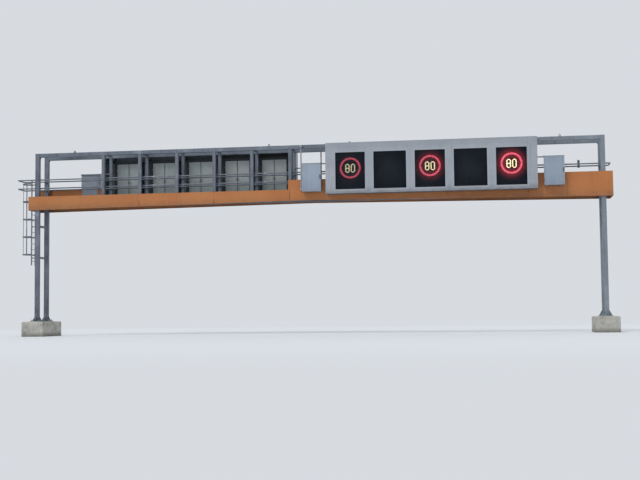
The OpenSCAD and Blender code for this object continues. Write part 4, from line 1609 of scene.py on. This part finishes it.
@dataclass(frozen=True)
class Display(FacedAssembly):
    """One light matrix: a black panel in the pocket, a visor over every row and its dots.

    Sizes of the digits are counted in dots, and their places from the ring's centre.
    """

    number: int
    sign: Sign
    pitch: float = 0.025
    pocket: float = 0.03
    rim: float = 0.015
    panel_t: float = 0.003
    dot_r: float = 0.0105
    lit_r: float = 0.012
    dot_rise: float = 0.004
    dot_lap: float = 0.0005
    dot_crown: float = 0.55
    visor_t: float = 0.0016
    visor_d: float = 0.012
    gasket_t: float = 0.009
    gasket_set: float = 0.004
    ring_r: float = 0.476
    ring_w: float = 0.085
    ring_drop: float = 0.71
    digit: tuple[int, int] = (8, 16)
    stroke: int = 2
    eight_at: float = -8.5
    zero_at: float = 1.5

    @property
    def tag(self) -> str:
        """Last part of each piece's name."""
        return f"{self.face.value}_{self.number}"

    def window(self) -> Window:
        """The window that this matrix fills."""
        return Window.of(self.face, self.number, self.shop.layout.middle)

    def dots(self) -> tuple[Array, Array]:
        """Places of the dots, on a square lattice about the window's centre.

        Returns:
            X and Z of the dots, row by row.
        """
        gap, axes = self.window(), []
        for centre, clear in ((gap.x, gap.width - 2 * self.rim),
                              ((gap.foot + gap.head) / 2, gap.head - gap.foot - 2 * self.rim)):
            count = int(clear / self.pitch)
            axes.append(centre + (np.arange(count) - (count - 1) / 2) * self.pitch)
        across, up = np.meshgrid(*axes)
        return across.ravel(), up.ravel()

    def ring_z(self) -> float:
        """Height of the ring's centre, on the row of dots nearest to the drop from the window's head."""
        rows = np.unique(self.dots()[1])
        return rows[np.abs(rows - self.window().head + self.ring_drop).argmin()]

    def figure(self, column: Array, row: Array, bars: int) -> Array:
        """Dots of one digit: a block with its corners cut, less the holes between its level bars.

        A dot's distances from the nearest side and the nearest end are counted in dots. Corner
        dots, where their sum is under two, stay dark. With three bars a dot is missing at each
        side of the middle one.

        Args:
            column: number of the dot from the digit's left side.
            row: number of the dot from its foot.
            bars: level bars, two in a nought and three in an eight.

        Returns:
            True where a dot is lit.
        """
        wide, tall = self.digit
        side = np.minimum(column, wide - 1 - column)
        end = np.minimum(row, tall - 1 - row)
        lit = (side >= 0) & (end >= 0) & (side + end >= 2)
        level = end < self.stroke
        if bars == 3:
            middle = np.abs(2 * row - tall + 1)
            level |= middle < self.stroke
            lit &= (side > 0) | (middle > 0)
        return lit & ((side < self.stroke) | level)

    def lit(self, x: Array, z: Array) -> tuple[Array, Array]:
        """Which dots are red and which are pale: a ring, and an eight and a nought inside it.

        Args:
            x: places of the dots along X.
            z: their heights.

        Returns:
            Two masks.
        """
        if self.sign is Sign.BLANK:
            return np.zeros(len(x), bool), np.zeros(len(x), bool)
        u, v = x - self.window().x, z - self.ring_z()
        away = np.hypot(u, v)
        ring = (away <= self.ring_r) & (away >= self.ring_r - self.ring_w)
        row = np.rint(v / self.pitch).astype(int) + self.digit[1] // 2
        starts = self.eight_at, self.zero_at
        eight, nought = (np.rint(u / self.pitch - start).astype(int) for start in starts)
        return ring, self.figure(eight, row, 3) | self.figure(nought, row, 2)

    def panel_y(self) -> float:
        """Front of the matrix panel on the near face."""
        return self.window().rim_y + self.pocket - self.panel_t

    def panel(self) -> Surface:
        """Thin sheet on the floor of the pocket."""
        gap, front = self.window(), self.panel_y()
        return spans(gap.across(self.rim), (front, front + self.panel_t), gap.upward(self.rim))

    def visors(self) -> Surface:
        """One thin shelf above every row of dots.

        Returns:
            The shelves.
        """
        rows, half = np.unique(self.dots()[1].round(6)) + self.pitch / 2, self.visor_t / 2
        depths = self.panel_y() - self.visor_d, self.panel_y() + LAP
        return spans(self.window().across(self.rim), depths, (rows - half, rows + half))

    def gasket(self) -> Surface:
        """Rubber strip round the inside of the window, in front of the housing's rim.

        Returns:
            The strip, in four lengths.
        """
        gap, thick = self.window(), self.gasket_t
        y = Box.of("sign_casing_near").low[1] + self.gasket_set, gap.rim_y
        sides = spans(edges(*gap.across(), thick), y, gap.upward())
        return joined([sides, spans(gap.across(thick), y, edges(*gap.upward(), thick))])

    def pieces(self) -> list[Piece]:
        """Panel, visors, gasket and the dots of each kind, six-sided lenses with a flat crown.

        Returns:
            The pieces, of which the panel is the first.
        """
        x, z = self.dots()
        ring, digits = self.lit(x, z)
        panel = "matrix_panel" if self.sign is Sign.SPEED else "matrix_panel_dark"
        pieces = [Piece("matrix_panel", self.panel(), panel, Slot.BLACK),
                  Piece("matrix_visors", self.visors(), "housing_black", Slot.BLACK),
                  Piece("window_gasket", self.gasket(), "rubber")]
        for kind, mask, radius in (("red", ring, self.lit_r), ("pale", digits, self.lit_r),
                                   ("dark", ~(ring | digits), self.dot_r)):
            if mask.any():
                lens = lathe([[radius, -self.dot_lap], [self.dot_crown * radius, self.dot_rise]], 6)
                dots = lens.at(xyz(x, self.panel_y(), z)[mask], Aim.NEAR)
                pieces.append(Piece(f"dots_{kind}", dots, f"diode_{kind}"))
        return pieces

    def build(self) -> None:
        """Finishes the housing, makes the pieces and maps the panel."""
        self.shop.dress([f"display_{self.tag}"], "display_case")
        self.map_ring(self.make()[0])

    def map_ring(self, panel: bpy.types.Object) -> None:
        """Gives the panel a map of the place on it, in ring radii from the ring's centre.

        Args:
            panel: the panel's object.
        """
        middle, x = self.shop.layout.middle, self.window().x
        shape = self.face.place(self.panel(), middle)
        centre = x if self.face is Face.NEAR else 2 * middle - x
        flat = (shape.points[:, [0, 2]] - [centre, self.ring_z()]) / self.ring_r
        layer = panel.data.uv_layers.new(name="ring")
        layer.uv.foreach_set("vector", flat[shape.corners].astype(np.float32).ravel())


@dataclass(frozen=True)
class SignCasing(FacedAssembly):
    """Casing of one face with its displays, rear doors, arms and rails."""

    display_count: int = 5
    rivet: float = 0.006
    rivet_pitch: float = 0.24
    rivet_inset: float = 0.03
    hinge_r: float = 0.009
    hinge_h: float = 0.1
    flap: Triple = (0.064, 0.004, 0.08)
    handle_x: float = 0.05
    handle_plate: Stretches = ((-0.015, 0.015), (0.0, 0.006), (-0.075, 0.075))
    handle_lever: Stretches = ((-0.011, 0.011), (0.006, 0.024), (-0.06, 0.035))
    handle_boss: Profile = ((0.013, 0.006), (0.013, 0.028), (0.010, 0.031))
    boss_z: float = 0.05
    seal_w: float = 0.03
    seal_t: float = 0.003
    leaf_w: float = 0.58
    leaf_gap: float = 0.008
    door_shift: float = 0.05
    frame_t: float = 0.005
    margin: float = 0.23
    band: float = 0.25
    seam_w: float = 0.004

    def numbers(self) -> range:
        """Numbers of the displays."""
        return range(1, self.display_count + 1)

    def door_x(self) -> Array:
        """Middles of the pairs of leaves, which stand a little nearer to mid-span than the displays."""
        windows = (Window.of(Face.NEAR, number, self.shop.layout.middle) for number in self.numbers())
        return np.array([window.x for window in windows]) - self.door_shift

    def rivets(self) -> Surface:
        """Rows of low heads on both sides of the upright seams and under and over the long one.

        Returns:
            The heads.
        """
        casing, inset = Box.of("sign_casing_near"), self.rivet_inset
        wall_y, seam_z = casing.low[1] + self.frame_t, casing.high[2] - self.band
        joints = casing.low[0] + self.margin + self.shop.layout.bay * np.arange(1, self.display_count)
        z = np.arange(casing.low[2] + inset, seam_z - inset, self.rivet_pitch)
        x = np.arange(casing.low[0] + inset, casing.high[0] - inset, self.rivet_pitch)
        level = lattice(x, wall_y, (seam_z - inset, seam_z + self.seam_w + inset))
        places = [lattice(around(joints, -inset, inset), wall_y, z), level]
        return dome_rivet(self.rivet).at(np.concatenate(places), Aim.NEAR)

    def hinges(self) -> Surface:
        """Three barrels on the outer edge of each door leaf, each with its two flaps.

        Returns:
            The hinges.
        """
        doors, reach = Box.of("rear_doors_near"), self.leaf_w + self.leaf_gap / 2
        (wide, thick, high), half = self.flap, self.hinge_h / 2
        barrel = lathe([[self.hinge_r, -half], [self.hinge_r, half]], 12)
        flap = spans((-wide / 2, wide / 2), (-thick, 0.0), (-high / 2, high / 2))
        x = around(self.door_x(), -reach, reach)
        return joined([barrel, flap]).at(lattice(x, doors.high[1] + thick, doors.hinge_levels))

    def handles(self) -> Surface:
        """Swing handle on each leaf beside the middle seam: a base plate, a lever and a boss.

        Returns:
            The handles.
        """
        doors = Box.of("rear_doors_near")
        boss = lathe(self.handle_boss, 14).at([0, 0, self.boss_z], Aim.FAR)
        handle = joined([spans(*self.handle_plate), spans(*self.handle_lever), boss])
        x = around(self.door_x(), -self.handle_x, self.handle_x)
        return handle.at(lattice(x, doors.high[1], doors.middle[2]))

    def seals(self) -> Surface:
        """Rubber strip over the middle seam of every pair of leaves; its dark also stands in for the shade in
        the seam, as painted shade.

        Returns:
            The strips.
        """
        # dark rubber strip that also stands in for the shade in the seam: partly painted shade
        doors, x, half = Box.of("rear_doors_near"), self.door_x(), self.seal_w / 2
        depths = doors.high[1], doors.high[1] + self.seal_t
        return spans((x - half, x + half), depths, (doors.low[2], doors.high[2]))

    def coats(self) -> dict[str, Sequence[str]]:
        """The casing's own paint, shaded zinc inside it and grey-green doors.

        Returns:
            The finishes with their nodes.
        """
        side = self.face.value
        return {"casing_sheet": [f"sign_casing_{side}"], "door_sheet": [f"rear_doors_{side}"],
                "shaded_zinc": [f"casing_arms_{side}", f"display_rails_{side}"]}

    def pieces(self) -> list[Piece]:
        """Rivets, and the hinges, the rubber strips over the seams, which also stand for the seams' painted
        shade, and handles of the doors.

        Returns:
            The pieces.
        """
        return [Piece("casing_rivets", self.rivets(), "casing_sheet", Slot.CASING, smooth=True),
                Piece("door_hinges", self.hinges(), "bright_zinc", Slot.STEEL, smooth=True),
                Piece("door_seals", self.seals(), "rubber"),
                Piece("door_handles", self.handles(), "bright_zinc", Slot.STEEL, smooth=True)]

    def build(self) -> None:
        """Finishes the casing, builds its displays, of which the odd ones are lit, and makes the pieces."""
        self.dress()
        for number in self.numbers():
            Display(self.shop, self.face, number, Sign.SPEED if number % 2 else Sign.BLANK).build()
        self.make()


@dataclass(frozen=True)
class Cabinets(FacedAssembly):
    """Equipment cabinets of one face with panels, glands, hinges and locks."""

    roof_lap: float = 0.02
    roof_drop: float = 0.036
    rim: float = 0.07
    recess: float = 0.004
    sheet_gap: float = 0.004
    sheet_t: float = 0.002
    gland_nut: Profile = ((0.0234, 0.0), (0.0234, 0.012))
    gland: Profile = ((0.018, 0.012), (0.018, 0.034), (0.0126, 0.044))
    barrel: Profile = ((0.008, -0.045), (0.008, 0.045))
    barrel_x: float = 0.02
    barrel_out: float = 0.004
    lock_plate: Stretches = ((-0.02, 0.02), (-0.008, 0.0), (-0.09, 0.09))
    lock_lever: Stretches = ((-0.013, 0.013), (-0.03, -0.008), (-0.075, 0.045))

    def nodes(self) -> list[str]:
        """Names of both cabinets."""
        return [f"cabinet_{self.face.value}_{place}" for place in ("inner", "outer")]

    def sheet(self, body: Box) -> Surface:
        """Thin panel on the floor of the front's shallow recess.

        Args:
            body: box of the cabinet's body.

        Returns:
            The panel.
        """
        edge, floor = self.rim + self.sheet_gap, body.low[1] + self.recess
        depths = floor - self.sheet_t, floor + self.sheet_t / 4
        heights = body.low[2] + edge, body.high[2] - self.roof_drop - edge
        return spans((body.low[0] + edge, body.high[0] - edge), depths, heights)

    def glands(self, body: Box) -> Surface:
        """Row of cable glands under a cabinet: a nut and a body with a bevelled cap on each.

        Args:
            body: box of the cabinet's body.

        Returns:
            The glands.
        """
        gland = joined([lathe(self.gland_nut, 6), lathe(self.gland, 14)])
        x = np.linspace(body.low[0], body.high[0], 8)[2:-2]
        return gland.at(lattice(x, body.middle[1], body.low[2]), Aim.DOWN)

    def hinges(self, body: Box) -> Surface:
        """Three hinge barrels up the left edge of the front."""
        x, y = body.low[:2] + [self.barrel_x, -self.barrel_out]
        return lathe(self.barrel, 12).at(lattice(x, y, body.hinge_levels))

    def lock(self, body: Box) -> Surface:
        """Swing handle at the right edge of the front."""
        lock = joined([spans(*self.lock_plate), spans(*self.lock_lever)])
        return lock.at([body.high[0] - self.rim / 2, body.low[1], body.middle[2]])

    def coats(self) -> dict[str, Sequence[str]]:
        """Both cabinets are pale blue-grey."""
        return {"cabinet_sheet": self.nodes()}

    def pieces(self) -> list[Piece]:
        """The same four pieces for both cabinets, on their bodies without the laps of the roofs.

        Returns:
            The pieces.
        """
        lap, middle = self.roof_lap, self.shop.layout.middle
        boxes = [self.face.local(node, middle) for node in self.nodes()]
        bodies = [Box(box.low + [lap, lap, 0.0], box.high - [lap, 0.0, 0.0]) for box in boxes]
        rows = (("panels", self.sheet, "panel_sheet", Slot.CABINET),
                ("glands", self.glands, "housing_black", Slot.BLACK),
                ("hinges", self.hinges, "bright_zinc", Slot.STEEL),
                ("locks", self.lock, "housing_black", Slot.BLACK))
        return [Piece(f"cabinet_{name}", joined(make(body) for body in bodies), finish, slot, smooth=True)
                for name, make, finish, slot in rows]


@dataclass(frozen=True)
class Fittings(Assembly):
    """Lifting lugs, cable pipes, the fascia's end plates and the sensor on the rail."""

    lens_reach: float = 0.1
    lens_barrel: Profile = ((0.035, 0.0), (0.035, 0.012), (0.028, 0.014))
    lens_glass: Profile = ((0.028, 0.012), (0.0224, 0.018), (0.0112, 0.021))
    pipe_at: Pair = (0.055, 0.06)
    box_h: float = 0.09
    nut: Profile = ((0.039, 0.0), (0.039, 0.018), (0.036, 0.0225))

    def lens(self) -> Surface:
        """Two round lenses in short barrels on the sensor's near side.

        Returns:
            The lenses.
        """
        box = Box.of("rail_sensor")
        z = around(box.middle[2], -self.lens_reach, self.lens_reach)
        lens = joined([lathe(self.lens_barrel, 24), lathe(self.lens_glass, 24)])
        return lens.at(lattice(box.middle[0], box.low[1], z), Aim.NEAR)

    def pipe_collars(self) -> Surface:
        """Threaded collars where both cable pipes leave their lower box and enter the upper one.

        Returns:
            The collars.
        """
        pipes, nut = Box.of("cable_pipes"), lathe(self.nut, 8)
        x, y = pipes.low[:2] + self.pipe_at
        near = joined([nut.at([x, y, pipes.low[2] + self.box_h]),
                       nut.at([x, y, pipes.high[2] - self.box_h], Aim.DOWN)])
        return joined(face.place(near, self.shop.layout.middle) for face in Face)

    def coats(self) -> dict[str, Sequence[str]]:
        """The small parts, by finish.

        Returns:
            The finishes with their nodes.
        """
        return {"weathered_zinc": ("lifting_lugs", "cabinet_rails"), "pipe_zinc": ("cable_pipes",),
                "orange_sheet": ("fascia_end_left", "fascia_end_right"), "sensor_case": ("rail_sensor",)}

    def pieces(self) -> list[Piece]:
        """Lenses and collars."""
        return [Piece("sensor_lenses", self.lens(), "diode_dark", Slot.SENSOR, smooth=True),
                Piece("pipe_collars", self.pipe_collars(), "bright_zinc", Slot.STEEL)]


@dataclass(frozen=True)
class Studio:
    """Pale floor, soft light and the camera at the photograph's viewpoint."""

    middle: float
    viewpoint: Triple = (21.520, -51.173, 0.953)
    yaw: float = -8.85
    pitch: float = 3.75
    roll: float = -0.6
    lens: float = 63.0
    far_end: float = 2000.0
    floor_half: float = 400.0
    floor_z: float = -0.001
    floor_colour: Rgb = (0.865, 0.875, 0.89)
    floor_dim: float = 0.985
    floor_rough: float = 0.9
    mist: Cloud = Cloud((0.4, 0.4, 0.4), 3.0)
    backdrop: Rgb = (0.845, 0.86, 0.88)
    sky: Rgb = (0.97, 0.985, 1.0)
    sky_strength: float = 0.78
    clear: Pair = (16.0, 34.0)
    sun_strength: float = 1.15
    sun_angle: float = 22.0
    sun_way: Triple = (-0.45, -0.75, 1.0)

    def show(self, name: str, data: bpy.types.ID) -> bpy.types.Object:
        """Puts a mesh, lamp or camera into the scene.

        Args:
            name: the object's name.
            data: its mesh, lamp or camera data.

        Returns:
            The object.
        """
        made = bpy.data.objects.new(name, data)
        bpy.context.scene.collection.objects.link(made)
        return made

    def floor(self) -> None:
        """Level sheet of very slightly clouded pale grey, which turns into the backdrop far out."""
        mesh, half = bpy.data.meshes.new("floor"), self.floor_half
        corners = [(-half, -half, 0), (half, -half, 0), (half, half, 0), (-half, half, 0)]
        mesh.from_pydata(corners, [], [(0, 1, 2, 3)])
        coat, dim = Coat("floor_grey"), tuple(self.floor_dim * c for c in self.floor_colour)
        body = coat.mix(coat.noise(self.mist), dim, self.floor_colour)
        mesh.materials.append(coat.done(Base_Color=body, Roughness=self.floor_rough))
        beyond = coat.node("Emission", Color=linear(self.backdrop)).outputs[0]
        past = coat.calc("SUBTRACT", coat.away(coat.axis("X"), self.middle), self.middle)
        side, deep = coat.calc("MAXIMUM", past, 0.0), coat.away(coat.axis("Y"))
        away = coat.calc("SQRT", coat.calc("ADD", coat.times(side, side), coat.times(deep, deep)))
        share = coat.times(coat.ramp(away, self.clear), coat.seen())
        mixed = coat.node("MixShader", share, coat.shader.outputs[0], beyond)
        coat.feed(coat.tree.nodes["Material Output"].inputs["Surface"], mixed.outputs[0])
        plate = self.show("floor", mesh)
        plate.location.z = self.floor_z

    def world(self) -> None:
        """Even pale sky as light, and a plain pale backdrop for what the camera and gloss see."""
        world = bpy.data.worlds.new("studio")
        bpy.context.scene.world = world
        world.use_nodes = True
        world.node_tree.nodes.clear()
        wiring = Wiring(world.node_tree)
        light = wiring.node("Background", Color=linear(self.sky), Strength=self.sky_strength).outputs[0]
        back = wiring.node("Background", Color=linear(self.backdrop)).outputs[0]
        wiring.node("OutputWorld", wiring.node("MixShader", wiring.seen(), light, back).outputs[0])

    def lamp(self) -> None:
        """One broad sun, high and to the left of the camera."""
        data = bpy.data.lights.new("soft_sun", "SUN")
        data.energy, data.angle = self.sun_strength, math.radians(self.sun_angle)
        self.show("soft_sun", data).matrix_world = Matrix(upright(self.sun_way).tolist()).to_4x4()

    def camera(self) -> None:
        """Camera whose axes come from its heading, its rise and a small lean."""
        yaw, pitch, roll = (math.radians(a) for a in (self.yaw, self.pitch, self.roll))
        ahead = np.array([math.sin(yaw) * math.cos(pitch), math.cos(yaw) * math.cos(pitch), math.sin(pitch)])
        right = np.array([math.cos(yaw), -math.sin(yaw), 0.0])
        up = np.cross(right, ahead)
        axes = np.eye(4)
        axes[:3, 0] = right * math.cos(roll) + up * math.sin(roll)
        axes[:3, 1] = up * math.cos(roll) - right * math.sin(roll)
        axes[:3, 2] = -ahead
        axes[:3, 3] = self.viewpoint
        data = bpy.data.cameras.new("viewpoint")
        data.lens, data.clip_end = self.lens, self.far_end
        camera = self.show("viewpoint", data)
        camera.matrix_world = Matrix(axes.tolist())
        bpy.context.scene.camera = camera

    def build(self) -> None:
        """Sets the stage."""
        bpy.context.scene.view_settings.view_transform = "Standard"
        for step in (self.floor, self.world, self.lamp, self.camera):
            step()


def recipes(plan: Layout) -> list[Finish]:
    """Lists the finishes of this gantry.

    Args:
        plan: the layout, which sets where the sheets' panels meet.

    Returns:
        The recipes.
    """
    bay, mid, start = plan.bay, plan.middle, plan.posts[0] - plan.bay / 2
    casing = Box.of("sign_casing_near")
    carriers = "fascia_near_low", "cabinet_near_inner", "rear_doors_near"
    orange, cabinet, doors = (Box.of(node).low[2] for node in carriers)
    level = casing.low[2], casing.high[2]
    return [
        Zinc(),
        Zinc("grating_zinc", (0.40, 0.42, 0.445), (0.30, 0.315, 0.34), (0.52, 0.54, 0.565), spangle=90.0),
        Zinc("rail_zinc", (0.435, 0.465, 0.50), (0.355, 0.38, 0.41), (0.54, 0.57, 0.60), fresh_share=0.0),
        Zinc("pipe_zinc", (0.60, 0.615, 0.635), (0.52, 0.535, 0.55), (0.68, 0.69, 0.70), grime_share=0.25),
        Zinc("shaded_zinc", (0.20, 0.21, 0.225), (0.15, 0.16, 0.175), (0.26, 0.27, 0.28), metallic=0.15,
             fresh_share=0.0),
        Zinc("weld_zinc", (0.47, 0.49, 0.52), (0.36, 0.38, 0.40), (0.58, 0.60, 0.615), spangle=220.0,
             rust_share=0.8),
        Zinc("bright_zinc", (0.55, 0.575, 0.60), (0.42, 0.44, 0.465), (0.68, 0.70, 0.71), spangle=160.0,
             rust_share=0.9, metallic=0.45, roughness=(0.36, 0.55)),
        SheetPaint("orange_sheet", (0.69, 0.42, 0.212), (0.715, 0.465, 0.26), (0.34, 0.27, 0.22),
                   panel=2 * bay, start=plan.posts[1], film=(orange - 0.02, orange + 0.42),
                   streak_share=0.28),
        CasingPaint("casing_sheet", (0.575, 0.60, 0.635), (0.625, 0.645, 0.675), (0.35, 0.345, 0.345),
                    panel=bay, start=start, film=(level[0], level[0] + 0.32), film_share=0.6, middle=mid,
                    reach=(casing.low[0] - mid, casing.high[0] - mid), front=-casing.low[1], level=level),
        SheetPaint("cabinet_sheet", (0.56, 0.60, 0.65), (0.60, 0.635, 0.68), (0.34, 0.35, 0.37), panel=bay,
                   start=start, film=(cabinet, cabinet + 0.5), film_share=0.3),
        SheetPaint("panel_sheet", (0.54, 0.59, 0.655), (0.58, 0.625, 0.68), (0.34, 0.36, 0.39), panel=bay,
                   start=start, film=(cabinet, cabinet + 0.5), film_share=0.15),
        SheetPaint("door_sheet", (0.60, 0.635, 0.635), (0.645, 0.675, 0.675), (0.36, 0.37, 0.37), panel=0.9,
                   start=start, film=(doors, doors + 0.8), film_share=0.2),
        SheetPaint("sensor_case", (0.34, 0.36, 0.385), (0.38, 0.40, 0.42), (0.22, 0.22, 0.23),
                   panel=1.0, start=0.0, film=(7.0, 7.5)),
        CastConcrete(),
        CastConcrete("mortar", (0.60, 0.595, 0.57), (0.47, 0.465, 0.44), (0.70, 0.695, 0.67), board=10.0),
        MattBlack("housing_black"),
        MattBlack("display_case", (0.115, 0.14, 0.165), (0.20, 0.225, 0.25)),
        MattBlack("rubber", (0.10, 0.10, 0.105), (0.24, 0.24, 0.235)),
        LouvreBlack(middle=mid),
        LouvreBlack("matrix_panel_dark", ring=40.0),
        Diode("diode_dark", (0.050, 0.118, 0.190)),
        Diode("diode_red", (0.45, 0.06, 0.08), (1.0, 0.42, 0.52), 1.6, middle=mid),
        Diode("diode_pale", (0.75, 0.70, 0.60), (1.0, 0.945, 0.735), 1.45, middle=mid, level=(0.6, 1.6)),
    ]


def main() -> None:
    """Builds the sub-assemblies in order."""
    logging.basicConfig(level=logging.INFO, format="%(message)s")
    plan = Layout.read()
    shop = Workshop(plan, {finish.name: finish for finish in recipes(plan)})
    assemblies = [Studio(plan.middle)]
    assemblies += [kind(shop) for kind in (Plinths, PortalFrame, Walkway, Handrails, Ladder)]
    assemblies += [kind(shop, face) for face in Face for kind in (Fascia, SignCasing, Cabinets)]
    assemblies.append(Fittings(shop))
    for assembly in assemblies:
        assembly.build()
        LOG.info("built %s", type(assembly).__name__)
    LOG.info("nodes without a finish: %s", sorted(set(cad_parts) - shop.dressed))


if __name__ == "__main__":
    main()
